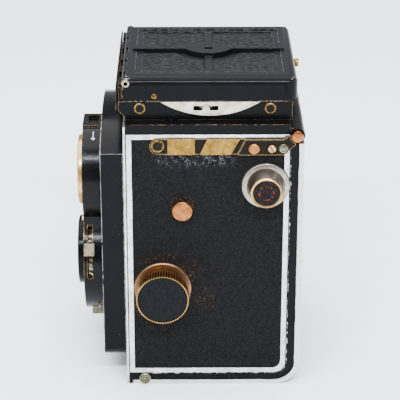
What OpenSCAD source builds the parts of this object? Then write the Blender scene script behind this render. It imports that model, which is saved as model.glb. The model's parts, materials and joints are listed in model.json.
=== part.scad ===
// Twin lens reflex camera for 6 x 6 cm roll film, with a folding hood, a sliding front
// standard and a hinged back. X runs across the body, the lenses face -Y and Z is up.
// The origin is the mouth of the tripod socket.

/* [Body] */
// Width of the body over the leather
body_w = 75; // [70:0.5:92]
// Depth of the body from the front frame to the rear face
body_d = 68.6; // [66:0.2:84]
// Height of the top deck above the base
deck_z = 111.5; // [108:0.5:136]
// Thickness of the cast walls
wall = 2; // [1.6:0.1:2.4]
// Thickness of the leather covering
leather_t = 0.5; // [0.3:0.1:0.8]
// Width of the polished side trim
trim_w = 1.9; // [1.2:0.1:3]

/* [Back cover] */
// Depth of the hinged back, which is also the depth of its base plate
cover_t = 5.2; // [5:0.1:6]
// Sheet thickness of the back
cover_skin = 1.4; // [1:0.1:1.8]
// Outer radius of the rear lower corner
corner_r = 10; // [8:0.5:14]
// Radius of the hinge knuckles
hinge_r = 3; // [2.6:0.1:3.4]
// Radius of the hinge pins and the latch pin
pin_r = 1; // [0.8:0.1:1.2]

/* [Lenses] */
// Depth of the viewing lens below the deck
view_drop = 33.2; // [30:0.2:36]
// Height of the taking lens
take_z = 42.8; // [38:0.5:44]
// Outer radius of both push-on lens rings
ring_r = 14; // [13.2:0.1:16]
// Length of the lens rings in front of the shutter housing
ring_l = 3; // [2:0.1:5]
// Radius of the housing round the taking lens
take_r = 24; // [22.5:0.1:25]
// Radius of the housing round the viewing lens
view_r = 21.3; // [20:0.1:23]
// Depth of the shutter housing
housing_d = 8.1; // [7.9:0.1:10]

/* [Front standard] */
// Width of the front standard
board_w = 69; // [66:0.5:72]
// Depth of the front standard
board_d = 8.7; // [7:0.1:11]
// Height of its lower edge
board_z0 = 10.5; // [10:0.5:16]
// Depth of the shoulders, where the arched top begins, below the deck
shoulder_drop = 12.9; // [12.4:0.1:15]
// Rise of the arched top
arch_h = 9.2; // [9:0.2:12.2]
// Focusing travel
focus_travel = 6.5; // [4:0.1:6.5]
// Turn of the focusing knob over that travel, in degrees
focus_turn = 300; // [240:5:310]

/* [Knobs] */
// Radius of the focusing knob
knob_r = 10.3; // [9:0.1:12.4]
// How far the focusing knob stands out from the body
knob_h = 10.5; // [9:0.1:13]
// Number of knurls on the focusing knob
knurls = 84; // [30:2:96]
// Radius of the nickel plate round the spool knob
plate_r = 9.2; // [8.6:0.1:10.4]
// Outer radius of the spool knob
cone_r = 6; // [5:0.1:7]
// How far the spool knob stands out from the body
cone_h = 8.6; // [7:0.1:11]
// Radius of the film spool flanges
spool_r = 10.4; // [9.4:0.1:10.6]
// Length of the winding crank
crank_l = 22; // [18:0.5:26]

/* [Hood] */
// Width of the hood base
hood_w = 64; // [60:0.5:68]
// Height of the hood base
base_h = 7.4; // [7:0.1:9]
// Height of the lid above the hood base
lid_h = 9.6; // [9.2:0.1:12]
// Bend radius of the lid's side edges
lid_bend = 3.5; // [2:0.1:3.9]
// Radius of the lid's rear corners, seen from above
lid_corner = 6; // [3:0.5:9]
// Sheet thickness of the lid's walls
lid_t = 1; // [0.8:0.1:1.2]
// Height of the folding flaps
flap_h = 22; // [16:0.5:25]

/* [Mounts] */
// Core radius of the 3/8 inch tripod thread
tripod_core_r = 3.97; // [3.5:0.01:4.5]
// Outer radius of the tripod bush
bush_r = 7; // [6:0.1:7.6]

/* [Hidden] */
$fn = 64;
gap = 0.3;
run = 0.05;
eps = 0.01;

// Heights that follow the deck
view_z = deck_z - view_drop;
shoulder_z = deck_z - shoulder_drop;

// Main planes of the body
hw = body_w / 2;
skin_x = hw - leather_t;
front_y = -body_d / 2;
rear_y = body_d / 2;
frame_t = 0.8;
shell_front = front_y + frame_t;
shell_rear = rear_y - cover_t - gap;
shell_z0 = cover_t + gap;
inner_r = corner_r - cover_t - gap;
film_x = hw - 4;
light_x = film_x - 4.5;
cavity_x0 = light_x + 1.4;
cavity_x1 = skin_x - 1.8;
screen_y0 = shell_front + wall + 0.6;
screen_y1 = 18;
screen_x = 28;

// The reflex mirror stands at 45 degrees: its supporting face is z = y + mirror_c
mirror_t = 1.2;
mirror_web = 0.9;
mirror_c = view_z + 6.8;

// Film path
gate = 56;
gate_y = shell_rear - 3.9;
gate_t = 1.2;
spool_y = rear_y - 14.5;
spool_z = deck_z - 24.4;
roller_r = 2.4;
roller_y = shell_rear - 3.3;
roller_hi = take_z + gate / 2 + 4.3;
roller_lo = shell_z0 + 4.7;

// Hinge of the back and latch
hinge_y = rear_y - 2.8;
hinge_z = deck_z - 4.5;
knuckle_x = 23.7;
cover_top = hinge_z - hinge_r - 0.4;
latch_y = front_y + 7.1;
latch_x = 31;
nose_y = shell_front + wall + gap;
plate_x = gate / 2 + 0.8;
plate_z = gate / 2 + 0.6;
head_r = 2.3;
head_t = 1.6;
latch_z = cover_t - head_r;

// Side furniture
knob_y = front_y + 14.55;
knob_z = take_z + 0.4;
shaft_r = 2;
cam_r0 = 4;
cam_k = focus_travel / focus_turn;
cam_x0 = cavity_x0 + 0.3;
cam_x1 = cam_x0 + 2;
follower_r = 1.5;
follower_y = knob_y - cam_r0 - follower_r - 0.35;
rail_x0 = cam_x1 + 0.4;
rail_x1 = cavity_x1 - 0.35;
button_y = front_y + 22.3;
button_z = view_z - 1.1;
button_r = 4;
strap_z = deck_z - 8.4;
strap_t = 0.8;
strap_y0 = front_y + 13.1;
strap_y1 = hinge_y - 5.2;

// Hood
hood_x = hood_w / 2;
hood_y0 = front_y - 1.6;
hood_y1 = rear_y - 4.5;
base_z1 = deck_z + base_h;
lid_x = hood_x + 0.5;
lid_y0 = hood_y0 + 1.6;
lid_y1 = hood_y1 + 2;
lid_z0 = base_z1 + gap;
lid_z1 = base_z1 + lid_h;
lid_pin_y = hood_y0 + 2.8;
lid_pin_z = lid_z1 - 2.1;
lid_knuckle = 1.6;
lid_pin_r = 0.8;
lid_knuckles = 9;
panel_x = hood_x - 8.3;
panel_y0 = lid_y0 + 6.95;
panel_y1 = lid_y1 - 7.8;
panel_d = 1.3;
lid_leather_t = 0.4;
rim_w = 2.4;
rim_d = 0.45;
rib_l = 4;
rib_w = 0.6;
rib_h = 0.9;
boss_l = 9.5;
boss_w = 6.2;
well_l = 12.5;
well_w = 10;
rib_y = (panel_y0 + panel_y1) / 2;
flap_z = base_z1 + 1.7;
flap_t = 0.5;
flap_x = hood_x - 3;
flap_rear_y = hood_y1 - 2.4;
flap_pin = 0.45;
flap_barrel = 0.95;
flap_y0 = hood_y0 + 4.8;
mag_d = 25;
mag_l = 34;
mag_z = lid_z1 - 3.5;

// Front standard and shutter
board_y1 = front_y - gap;
board_y0 = board_y1 - board_d;
housing_y0 = board_y0 - housing_d;
ring_y0 = housing_y0 - ring_l;
bx = board_w / 2;
tube_r = 16.2;
ring_seat = 0.5;
tube_in = ring_r - ring_seat;
cap_x = 6.5;
lever_ring_r = min(take_r - 1.9, view_z - take_z - tube_r - gap);
speed_y0 = housing_y0 + 1.8;
aperture_y0 = speed_y0 + 1.8;
release_y0 = aperture_y0 + 1.8;
lever_t = 1.4;
waist_x = 16;

// Winding crank on the right-hand side
crank_x0 = hw + 2.9;
crank_x1 = crank_x0 + 4.2;
crank_w = 4.8;
grip_r = 1.9;
grip_y = spool_y - crank_l;

// Half the distance between the outer faces of the magnifier's arms
mag_arm_x = 17;

// Box between two corners
module box(x0, x1, y0, y1, z0, z1) {
    translate([x0, y0, z0]) cube([x1 - x0, y1 - y0, z1 - z0]);
}

// Round bars along each axis
module xbar(x0, x1, y, z, r, r2 = -1) {
    translate([x0, y, z]) rotate([0, 90, 0]) cylinder(h = x1 - x0, r1 = r, r2 = r2 < 0 ? r : r2);
}

module ybar(y0, y1, x, z, r) {
    translate([x, y1, z]) rotate([90, 0, 0]) cylinder(h = y1 - y0, r = r);
}

module zbar(z0, z1, x, y, r) {
    translate([x, y, z0]) cylinder(h = z1 - z0, r = r);
}

// A (y, z) outline drawn out along X, and an (x, z) outline drawn out along Y
module side_profile(x0, x1) {
    translate([x0, 0, 0]) rotate([90, 0, 90]) linear_extrude(x1 - x0) children();
}

module front_profile(y0, y1) {
    translate([0, y1, 0]) rotate([90, 0, 0]) linear_extrude(y1 - y0) children();
}

module both_sides() {
    children();
    mirror([1, 0, 0]) children();
}

// Rectangle with its high-y low-z corner rounded, as on the side of the body
module heel_rect(y0, y1, z0, z1, r) {
    difference() {
        translate([y0, z0]) square([y1 - y0, z1 - z0]);
        translate([y1 - r, z0 - eps]) difference() {
            square([r + eps, r + eps]);
            translate([0, r + eps]) circle(r);
        }
    }
}

// Rectangle with its two lower corners rounded
module foot_rect(x, z0, z1, r) {
    translate([-x, z0 + r]) square([2 * x, z1 - z0 - r]);
    translate([r - x, z0]) square([2 * (x - r), r + eps]);
    for (s = [-1, 1]) translate([s * (x - r), z0 + r]) circle(r);
}

function light_top(y) = take_z + 10.8 + 0.3 * (y - shell_front);
function light_low(y) = 2 * take_z - light_top(y);

// Voids of the cast body, each a straight cut along X
module light_void() {
    y0 = shell_front + wall;
    side_profile(-light_x, light_x) polygon([
        [y0, light_low(y0)], [gate_y + eps, light_low(gate_y)],
        [gate_y + eps, light_top(gate_y)], [y0, light_top(y0)]
    ]);
}

module mirror_void() {
    y0 = shell_front + wall;
    z1 = deck_z - wall;
    side_profile(-light_x, light_x)
        polygon([[y0, y0 + mirror_c], [z1 - mirror_c, z1], [y0, z1]]);
}

module supply_void() {
    y0 = shell_front + wall;
    side_profile(-film_x, film_x) polygon([
        [y0, -1], [y0, light_low(y0) - 1.2], [gate_y - 1, light_low(gate_y - 1) - 1.2],
        [shell_rear + 1, light_low(gate_y - 1) - 1.2], [shell_rear + 1, -1]
    ]);
}

module take_up_void() {
    low = mirror_c - mirror_web * sqrt(2);
    z1 = cover_top - 0.3;
    side_profile(-film_x, film_x) polygon([
        [0, light_top(0) + 1.2], [gate_y, light_top(gate_y) + 1.2],
        [shell_rear + 1, light_top(gate_y) + 1.2], [shell_rear + 1, z1], [z1 - low, z1], [0, low]
    ]);
}

module body_shell() color("#1b1b1d") difference() {
    union() {
        side_profile(-skin_x, skin_x)
            heel_rect(shell_front, shell_rear, shell_z0, deck_z, inner_r);
        box(-skin_x, skin_x, shell_front, shell_front + 1.3, 0.6, shell_z0 + 1);
        both_sides() {
            xbar(knuckle_x + gap, skin_x, hinge_y, hinge_z, hinge_r);
            box(knuckle_x + gap, skin_x, shell_rear - 1, hinge_y, hinge_z, hinge_z + hinge_r);
        }
    }
    light_void();
    mirror_void();
    supply_void();
    take_up_void();
    box(-film_x, film_x, gate_y, shell_rear + 1, shell_z0 + 6, cover_top - 0.3);
    box(-screen_x, screen_x, screen_y0, screen_y1, deck_z - wall - 1, deck_z + 1);
    ybar(shell_front - 1, shell_front + wall + 1, 0, take_z, 10.5);
    ybar(shell_front - 1, shell_front + wall + 1, 0, view_z, 15);
    both_sides() {
        box(cavity_x0, cavity_x1, shell_front + wall, -2, knob_z - 11.2, deck_z - 7);
        box(rail_x0 - 0.3, cavity_x1, shell_front - 1, shell_front + wall + 1,
            take_z + 9.2, take_z + 49.5);
    }
    box(cam_x0 - 0.1, cavity_x1, shell_front - 1, shell_front + wall + 1,
        knob_z - 3.3, knob_z + 3.3);
    xbar(cavity_x1 - 1, hw, knob_y, knob_z, shaft_r + run);
    xbar(cavity_x1 - 1, hw, button_y, button_z, button_r - 1.4 + run);
    xbar(film_x - 1, hw, spool_y, spool_z, 1.8 + run);
    xbar(-hw, 1 - film_x, spool_y, spool_z, 2.4 + run);
    xbar(-hw - 5, hw + 5, hinge_y, hinge_z, pin_r);
    xbar(-knuckle_x - gap, knuckle_x + gap, hinge_y, hinge_z, hinge_r + gap);
    for (z = [roller_lo, roller_hi])
        xbar(-film_x - 1.4, film_x + 1.4, roller_y, z, 1 + run);
}

module front_frame() color("#d8d6ce") difference() {
    box(-skin_x, skin_x, front_y, shell_front, 0.6, deck_z - 1);
    ybar(front_y - 1, shell_front + 1, 0, take_z, 10.5);
    ybar(front_y - 1, shell_front + 1, 0, view_z, 15);
    both_sides() box(rail_x0 - 0.3, cavity_x1, front_y - 1, shell_front + 1,
        take_z + 9.2, take_z + 49.5);
    box(cam_x0 - 0.1, cavity_x1, front_y - 1, shell_front + 1, knob_z - 3.3, knob_z + 3.3);
}

// Polished frame round the leather, standing a little above it
module side_trim() {
    y0 = shell_front + 0.4;
    y1 = shell_rear - 0.1;
    z0 = shell_z0 + 0.2;
    z1 = deck_z - 3.9;
    side_profile(skin_x, hw + 0.15) difference() {
        heel_rect(y0, y1, z0, z1, inner_r);
        heel_rect(y0 + trim_w, y1 - trim_w, z0 + trim_w, z1 - trim_w, inner_r - 1);
    }
}

module side_trims() color("#e4e1d8") both_sides() difference() {
    side_trim();
    xbar(hw, hw + 1, spool_y, spool_z, plate_r + run);
    side_profile(hw, hw + 1) strap_outline(run);
}

module side_leather(holes) {
    y0 = shell_front + 0.4 + trim_w;
    y1 = shell_rear - 0.1 - trim_w;
    z0 = shell_z0 + 0.2 + trim_w;
    side_profile(skin_x, hw) difference() {
        heel_rect(y0, y1, z0, deck_z - 3.9 - trim_w, inner_r - 1);
        for (h = holes) translate([h[0], h[1]]) circle(h[2]);
    }
}

module side_leathers() color("#232224") {
    side_leather([
        [knob_y, knob_z, shaft_r + 0.6], [button_y, button_z, button_r - 1.1],
        [spool_y, spool_z, 2.6]
    ]);
    mirror([1, 0, 0]) side_leather([[spool_y, spool_z, 3]]);
}

module film_gate() color("#3a3a3c") difference() {
    union() {
        box(-film_x + 0.2, film_x - 0.2, gate_y, gate_y + gate_t,
            take_z - gate / 2 - 1.1, take_z + gate / 2 + 1.1);
        both_sides() box(29.4, 30.8, gate_y, gate_y + gate_t + 0.6,
            take_z - gate / 2 - 1.1, take_z + gate / 2 + 1.1);
    }
    box(-gate / 2, gate / 2, gate_y - 1, gate_y + 4, take_z - gate / 2, take_z + gate / 2);
}

module guide_roller(z) {
    xbar(0.4 - film_x, film_x - 0.4, roller_y, z, roller_r);
    xbar(-film_x - 1.1, film_x + 1.1, roller_y, z, 1);
}

module guide_roller_upper() color("#b9b8b4") guide_roller(roller_hi);
module guide_roller_lower() color("#b9b8b4") guide_roller(roller_lo);

module take_up_spool() color("#2a2a2c") difference() {
    union() {
        xbar(1 - film_x, film_x - 0.6, spool_y, spool_z, 5);
        xbar(0.6 - film_x, 1.6 - film_x, spool_y, spool_z, spool_r);
        xbar(film_x - 1.6, film_x - 0.6, spool_y, spool_z, spool_r);
    }
    xbar(film_x - 6, film_x + 1, spool_y, spool_z, 1.8 + run);
    xbar(-film_x - 1, 5 - film_x, spool_y, spool_z, 2.4);
    for (a = [0, 180]) translate([0, spool_y, spool_z]) rotate([a, 0, 0])
        box(-24, 24, -0.5, 0.5, 3.4, 6);
}

module reflex_mirror() color("#c9d2d8") {
    y0 = shell_front + wall + 1;
    y1 = deck_z - wall - mirror_c - 3;
    t = mirror_t * sqrt(2);
    side_profile(0.3 - light_x, light_x - 0.3) polygon([
        [y0, y0 + mirror_c], [y1, y1 + mirror_c],
        [y1 - t / 2, y1 + mirror_c + t / 2], [y0 - t / 2, y0 + mirror_c + t / 2]
    ]);
}

// Ground glass screen, held in a frame that lies on the deck inside the hood base
module focusing_screen() color("#cfd6d2")
    box(-screen_x + 0.4, screen_x - 0.4, screen_y0 + 0.4, screen_y1 - 0.4, deck_z - 0.6, deck_z + 1);

module screen_frame() color("#2a2a2c") difference() {
    box(-29.6, 29.6, screen_y0 - 1.3, screen_y1 + 6, deck_z + 1, deck_z + 1.9);
    box(-26.5, 26.5, screen_y0 + 2, screen_y1 - 2, deck_z, deck_z + 3);
}

// Strap bracket: a black base strip, a rounded front tab and a tapered rear tab
module strap_outline(m) {
    translate([strap_y0, strap_z]) circle(3.1 + m);
    translate([strap_y0, strap_z - 3.1 - m]) square([strap_y1 - strap_y0 + m, 6.2 + 2 * m]);
}

module strap_bracket() {
    y1 = strap_y1;
    side_profile(hw, hw + strap_t) strap_outline(0);
    side_profile(hw + strap_t, hw + 2 * strap_t) difference() {
        polygon([
            [y1 - 17.3, strap_z - 3.2], [y1 - 14.4, strap_z + 3.1], [y1, strap_z + 3.1],
            [hinge_y - 2.8, hinge_z + 1], [hinge_y - 0.6, hinge_z - 2.9], [y1, strap_z - 3.2]
        ]);
        translate([hinge_y, hinge_z]) circle(head_r + 0.2);
    }
}

module strap_brackets() color("#1f1e1e") both_sides() strap_bracket();

module strap_bars() color("#b8975a") both_sides() {
    y = front_y + 16.8;
    side_profile(hw + strap_t, hw + 2 * strap_t) {
        translate([y, strap_z - 3.1]) square([10.4, 6.2]);
        polygon([[y + 12.05, strap_z - 3.1], [y + 14.8, strap_z + 3.1],
                 [y + 27.3, strap_z + 3.1], [y + 23.9, strap_z - 3.1]]);
    }
}

module screw_head(x, y, z, r, h, turn) {
    difference() {
        xbar(x, x + h, y, z, r);
        translate([x + h, y, z]) rotate([turn, 0, 0]) cube([0.7, 0.45, 2 * r + 1], center = true);
    }
}

module brass_screws() color("#a98348") both_sides() {
    x = hw + 2 * strap_t;
    screw_head(hw + strap_t, strap_y0, strap_z + 0.4, 2, 0.8, 20);
    xbar(x, x + 0.6, front_y + 49.5, strap_z - 0.6, 2.1);
    screw_head(x, front_y + 56.2, strap_z - 0.6, 1.55, 0.7, 40);
    difference() {
        xbar(x, x + 0.8, front_y + 60.6, strap_z - 0.6, 1.9);
        xbar(x + 0.5, x + 1, front_y + 60.6, strap_z - 0.6, 1.2);
    }
    for (y = [hood_y0 + 8, hood_y0 + 57.3]) screw_head(hood_x, y, deck_z + 4.7, 2.1, 0.5, 30);
}

module side_button() color("#b5734a") {
    xbar(cavity_x1 - 1.4, hw + 1.8, button_y, button_z, button_r - 1.4);
    xbar(hw + 1.8, hw + 2.6, button_y, button_z, button_r);
    xbar(hw + 2.6, hw + 3.2, button_y, button_z, button_r, button_r - 0.6);
}

module focus_knob_base() color("#7b6140") difference() {
    xbar(hw, hw + 1, knob_y, knob_z, knob_r + 0.9);
    xbar(hw - 1, hw + 2, knob_y, knob_z, shaft_r + 0.5);
    xbar(hw + 0.4, hw + 2, knob_y, knob_z + knob_r - 0.6, 0.7);
}

// Outline of a knurled rim: one tooth every 360 / n degrees
module knurl(r, depth, n) {
    polygon([for (i = [0 : 2 * n - 1])
        let (a = i * 180 / n, q = i % 2 == 0 ? r : r - depth) [q * cos(a), q * sin(a)]]);
}

module focus_knob() color("#a8834b") difference() {
    union() {
        translate([0, knob_y, knob_z]) side_profile(hw + 5.2, hw + knob_h)
            knurl(knob_r, 0.5, knurls);
        xbar(hw + 1.4, hw + 5.2, knob_y, knob_z, knob_r - 1.1);
    }
    xbar(hw + knob_h - 0.6, hw + knob_h + 1, knob_y, knob_z, knob_r - 1.1);
    xbar(hw, hw + knob_h - 2, knob_y, knob_z, shaft_r);
}

module focus_knob_insert() color("#1d1c1c")
    xbar(hw + knob_h - 0.6, hw + knob_h - 0.1, knob_y, knob_z, knob_r - 1.2);

// Spiral cam: its radius grows in proportion to the turn of the knob
module focus_shaft() color("#8d8b86") {
    xbar(cam_x0, hw + knob_h - 2, knob_y, knob_z, shaft_r);
    translate([0, knob_y, knob_z]) side_profile(cam_x0, cam_x1) polygon([
        for (a = [-20 : 5 : focus_turn + 20])
            let (q = cam_r0 + cam_k * max(0, min(focus_turn, a))) [-q * cos(a), q * sin(a)]
    ]);
}

module spool_knob_plate() color("#bdbab2") difference() {
    xbar(hw, hw + 1.8, spool_y, spool_z, plate_r);
    xbar(hw - 1, hw + 3, spool_y, spool_z, 2.2);
}

module spool_knob() color("#b5a992") difference() {
    union() {
        xbar(film_x - 5.6, hw + 2.1, spool_y, spool_z, 1.8);
        xbar(hw + 2.1, hw + cone_h - 1.4, spool_y, spool_z, cone_r + 1.9, cone_r - 0.3);
        xbar(hw + cone_h - 1.4, hw + cone_h, spool_y, spool_z, cone_r);
    }
    xbar(hw + cone_h - 0.7, hw + cone_h + 1, spool_y, spool_z, cone_r - 0.9);
}

module spool_knob_insert() color("#161414")
    xbar(hw + cone_h - 0.7, hw + cone_h - 0.2, spool_y, spool_z, cone_r - 1);

module crank_plate() color("#bdbab2") difference() {
    xbar(-hw - 1.2, -hw, spool_y, spool_z, plate_r);
    xbar(-hw - 2, -hw + 1, spool_y, spool_z, 2.9);
}

// Crank shaft, hub and forked arm; the arm points to the front when the part is at rest
module crank_arm() color("#2a2a2b") difference() {
    union() {
        xbar(-crank_x1, 5 - film_x, spool_y, spool_z, 2.4);
        xbar(-crank_x1, -hw - 1.5, spool_y, spool_z, 6.4);
        side_profile(-crank_x1, -crank_x0) {
            translate([grip_y, spool_z]) circle(crank_w);
            translate([grip_y, spool_z - crank_w]) square([spool_y - grip_y, 2 * crank_w]);
        }
    }
    box(-crank_x1 - 1, -crank_x0 + 1, grip_y - 6, grip_y + 13.5, spool_z - 2.4, spool_z + 2.4);
    zbar(spool_z - 6, spool_z + 6, -(crank_x0 + crank_x1) / 2, grip_y, 0.8);
}

// Folding grip, lying in the fork of the arm when it is folded
module crank_grip() color("#1d1c1c") difference() {
    x = -(crank_x0 + crank_x1) / 2;
    union() {
        ybar(grip_y, grip_y + 13, x, spool_z, grip_r);
        zbar(spool_z - 2.1, spool_z + 2.1, x, grip_y, grip_r);
    }
    zbar(spool_z - 3, spool_z + 3, x, grip_y, 0.8 + run);
}

module crank_grip_pin() color("#a8a69f")
    zbar(spool_z - crank_w + 0.6, spool_z + crank_w - 0.6, -(crank_x0 + crank_x1) / 2, grip_y, 0.8);

// Outline of the front standard, shrunk by a margin for its inside
module board_outline(m) {
    rise = arch_h - m;
    half = bx - m;
    arch_r = (half * half + rise * rise) / (2 * rise);
    foot_rect(half, board_z0 + m, shoulder_z, 6 - m);
    intersection() {
        translate([0, shoulder_z + rise - arch_r]) circle(arch_r, $fn = 160);
        translate([-half, shoulder_z - 1]) square([2 * half, rise + 2]);
    }
}

module front_standard() color("#1b1b1d") {
    difference() {
        front_profile(board_y0, board_y1) board_outline(0);
        front_profile(board_y0 + 1.4, board_y1 + 1) board_outline(1.6);
        ybar(board_y0 - 1, board_y1 + 1, 0, take_z, tube_r - 1.5);
        ybar(board_y0 - 1, board_y1 + 1, 0, view_z, tube_r - 1.5);
    }
    both_sides() {
        box(rail_x0, rail_x1, board_y1, front_y + 18.5, take_z + 9.5, take_z + 49.2);
        box(rail_x0, bx - 1, board_y0 + 1, board_y1 + 1, take_z + 9.5, take_z + 49.2);
    }
    box(rail_x0, rail_x1, board_y1, follower_y + follower_r, knob_z - 3, knob_z + 3);
    box(rail_x0, bx - 1, board_y0 + 1, board_y1 + 1, knob_z - 3, knob_z + 3);
    xbar(cam_x0 + 0.2, rail_x0 + 1, follower_y, knob_z, follower_r);
}

// Closed figure-of-eight housing: outer wall, front face and a tube round each lens
module housing_outline(m) {
    translate([0, take_z]) circle(take_r - m, $fn = 96);
    translate([0, view_z]) circle(view_r - m, $fn = 96);
    translate([m - waist_x, take_z]) square([2 * (waist_x - m), view_z - take_z]);
}

// Gap in the housing wall for a lever: a sector round the taking lens
module lever_gap(y0, a, spread) {
    ends = [a - spread / 2, a + spread / 2];
    n = 8;
    q = take_r + 3;
    front_profile(y0 - 0.3, y0 + lever_t + 0.3) translate([0, take_z]) difference() {
        polygon(concat([[0, 0]], [for (i = [0 : n])
            let (t = ends[0] + (ends[1] - ends[0]) * i / n) [q * cos(t), q * sin(t)]]));
        circle(take_r - 2.5);
    }
}

module shutter_housing() color("#232325") difference() {
    union() {
        difference() {
            front_profile(housing_y0, board_y0) housing_outline(0);
            front_profile(housing_y0 + 1.3, board_y0 + 1) housing_outline(1.5);
        }
        for (z = [take_z, view_z]) ybar(housing_y0 + 1, board_y0, 0, z, tube_r);
        box(-cap_x, cap_x, housing_y0, board_y0, view_z + view_r - 6, view_z + view_r);
    }
    for (z = [take_z, view_z]) ybar(housing_y0 - 1, board_y0 + 1, 0, z, tube_in);
    box(2 - cap_x, cap_x - 2, housing_y0 + 2, board_y0 - 1.6, view_z + view_r - 1.2,
        view_z + view_r + 1);
    lever_gap(speed_y0, 21.5, 53);
    lever_gap(aperture_y0, 158.5, 53);
    lever_gap(release_y0, 300, 44);
}

module lens_ring(z) difference() {
    ybar(ring_y0, housing_y0, 0, z, ring_r);
    ybar(ring_y0 - 1, housing_y0 + 1, 0, z, tube_in - 0.9);
}

module viewing_ring() color("#b08a50") lens_ring(view_z);
module taking_ring() color("#1d1d1f") lens_ring(take_z);

module lens_barrel(z) difference() {
    ybar(ring_y0 + 0.9, board_y1 - 0.6, 0, z, tube_in - 0.9);
    ybar(ring_y0, board_y1, 0, z, 11.2);
    ybar(ring_y0 - 1, ring_y0 + 2.4, 0, z, tube_in - 1.7);
}

module viewing_barrel() color("#262628") lens_barrel(view_z);
module taking_barrel() color("#262628") lens_barrel(take_z);

// A plano-convex glass with its domed face to the front
module lens_glass(z, bulge) intersection() {
    ybar(ring_y0 + 1, ring_y0 + 6.4, 0, z, 11.2);
    translate([0, ring_y0 + 2.6 - bulge + 24, z]) sphere(r = 24, $fn = 96);
}

module lens_glasses() color("#8fa7b5") {
    lens_glass(view_z, 0);
    lens_glass(take_z, 0.2);
}

// Five closed leaves of the between-lens shutter
module shutter_blades() color("#4a4a4c") translate([0, board_y0, take_z])
    for (i = [0 : 4]) rotate([0, i * 72, 0]) rotate([90, 0, 0]) linear_extrude(0.4)
        intersection() {
            circle(11);
            polygon([[0.3, 0.2], [14 * cos(71), 14 * sin(71)], [16 * cos(36), 16 * sin(36)],
                     [14, 0.2]]);
        }

module aperture_blades() color("#39393b") difference() {
    ybar(board_y0 - 2.2, board_y0 - 1.6, 0, take_z, 11.2);
    translate([0, board_y0, take_z]) rotate([90, 0, 0]) cylinder(h = 4, r = 8.5, $fn = 8);
}

// Lever ring that turns round the taking lens tube, with a tab through the housing wall
module lever(y0, a, tab_r, tab_w, tab_y0, tab_y1) {
    difference() {
        ybar(y0, y0 + lever_t, 0, take_z, lever_ring_r);
        ybar(y0 - 1, y0 + lever_t + 1, 0, take_z, tube_r + 0.3);
    }
    translate([0, 0, take_z]) rotate([0, -a, 0]) {
        box(lever_ring_r - 1, take_r + 1, y0, y0 + lever_t, -tab_w / 2, tab_w / 2);
        box(take_r + 0.4, tab_r, tab_y0, tab_y1, -tab_w / 2, tab_w / 2);
    }
}

module speed_lever() color("#c9c4b8")
    lever(speed_y0, 24, take_r + 2.4, 5, speed_y0 - 1.4, speed_y0 + 2.6);

module aperture_lever() color("#c9c4b8")
    lever(aperture_y0, 156, take_r + 2.4, 4, aperture_y0 - 1.4, aperture_y0 + 2.4);

module release_lever() color("#8a7046")
    lever(release_y0, 290, take_r + 2.6, 6, release_y0 - 3.2, release_y0 + 1.6);

module housing_screws() color("#c8c4ba")
    for (p = [[0, (view_z + take_z) / 2 + 0.3, 1.4], [15.5, (view_z + take_z) / 2 + 3, 1],
              [-15.5, (view_z + take_z) / 2 + 3, 1], [13, view_z + 14.6, 1],
              [-13, view_z + 14.6, 1]])
        difference() {
            ybar(housing_y0 - (p[2] > 1 ? 1.2 : 0.6), housing_y0, p[0], p[1], p[2]);
            translate([p[0], housing_y0 - (p[2] > 1 ? 1.2 : 0.6), p[1]]) rotate([0, 35, 0])
                cube([0.35, 0.6, 3.4], center = true);
        }

// Piano hinge along the front of the lid: knuckles share one pitch, the base takes even ones
knuckle_l = 2 * (hood_x - 1) / lid_knuckles;
function knuckle_x0(i) = -(hood_x - 1) + i * knuckle_l;

module hood_base() color("#1b1b1d") difference() {
    union() {
        side_profile(-hood_x, hood_x) polygon([
            [hood_y0 + 3.2, deck_z], [hood_y0, deck_z + 3.7], [hood_y0, base_z1],
            [hood_y1, base_z1], [hood_y1, deck_z]
        ]);
        box(1 - hood_x, hood_x - 1, hood_y0, hood_y0 + 1.2, base_z1 - 1, lid_pin_z - 2.2);
        for (i = [0 : 2 : lid_knuckles - 1]) {
            x = knuckle_x0(i) + 0.15;
            xbar(x, x + knuckle_l - 0.3, lid_pin_y, lid_pin_z, lid_knuckle);
            box(x, x + knuckle_l - 0.3, hood_y0, lid_pin_y, lid_pin_z - 2.3, lid_pin_z - 0.6);
        }
        both_sides() for (y = [flap_y0 - 1.7, flap_rear_y - 2.4])
            box(flap_x - 1, flap_x + 1.3, y, y + 1.3, base_z1 - 1, flap_z + 1);
        both_sides() box(flap_x - 3.4, flap_x - 2.1, flap_rear_y - 1, flap_rear_y + 1.4,
            base_z1 - 1, flap_z + 1);
    }
    box(1.8 - hood_x, hood_x - 1.8, hood_y0 + 2, hood_y1 - 1.8, deck_z + 1.9, base_z1 + 1 - 1);
    box(-29.8, 29.8, screen_y0 - 1.5, screen_y1 + 6.2, deck_z - 1, deck_z + 3);
    xbar(-hood_x - 1, hood_x + 1, lid_pin_y, lid_pin_z, lid_pin_r);
    both_sides() {
        ybar(flap_y0 - 3, flap_rear_y, flap_x, flap_z, flap_pin);
        box(hood_x - 2.5, hood_x + 1, hood_y0 + 28.2, hood_y0 + 37.7, deck_z + 3.9, deck_z + 5.7);
    }
    xbar(-flap_x, flap_x, flap_rear_y, flap_z, flap_pin);
}

// Round plate on each side of the hood base, cut off by the lid above it
module hood_side_plates() color("#c4c0b6") both_sides() difference() {
    intersection() {
        xbar(hood_x, hood_x + 0.4, hood_y0 + 34.6, deck_z + 1.8 + 34.9, 34.9);
        box(hood_x - 1, hood_x + 2, hood_y0, hood_y1, deck_z, base_z1 - 0.1);
    }
    box(hood_x - 1, hood_x + 1, hood_y0 + 28.2, hood_y0 + 37.7, deck_z + 3.9, deck_z + 5.7);
}

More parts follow.
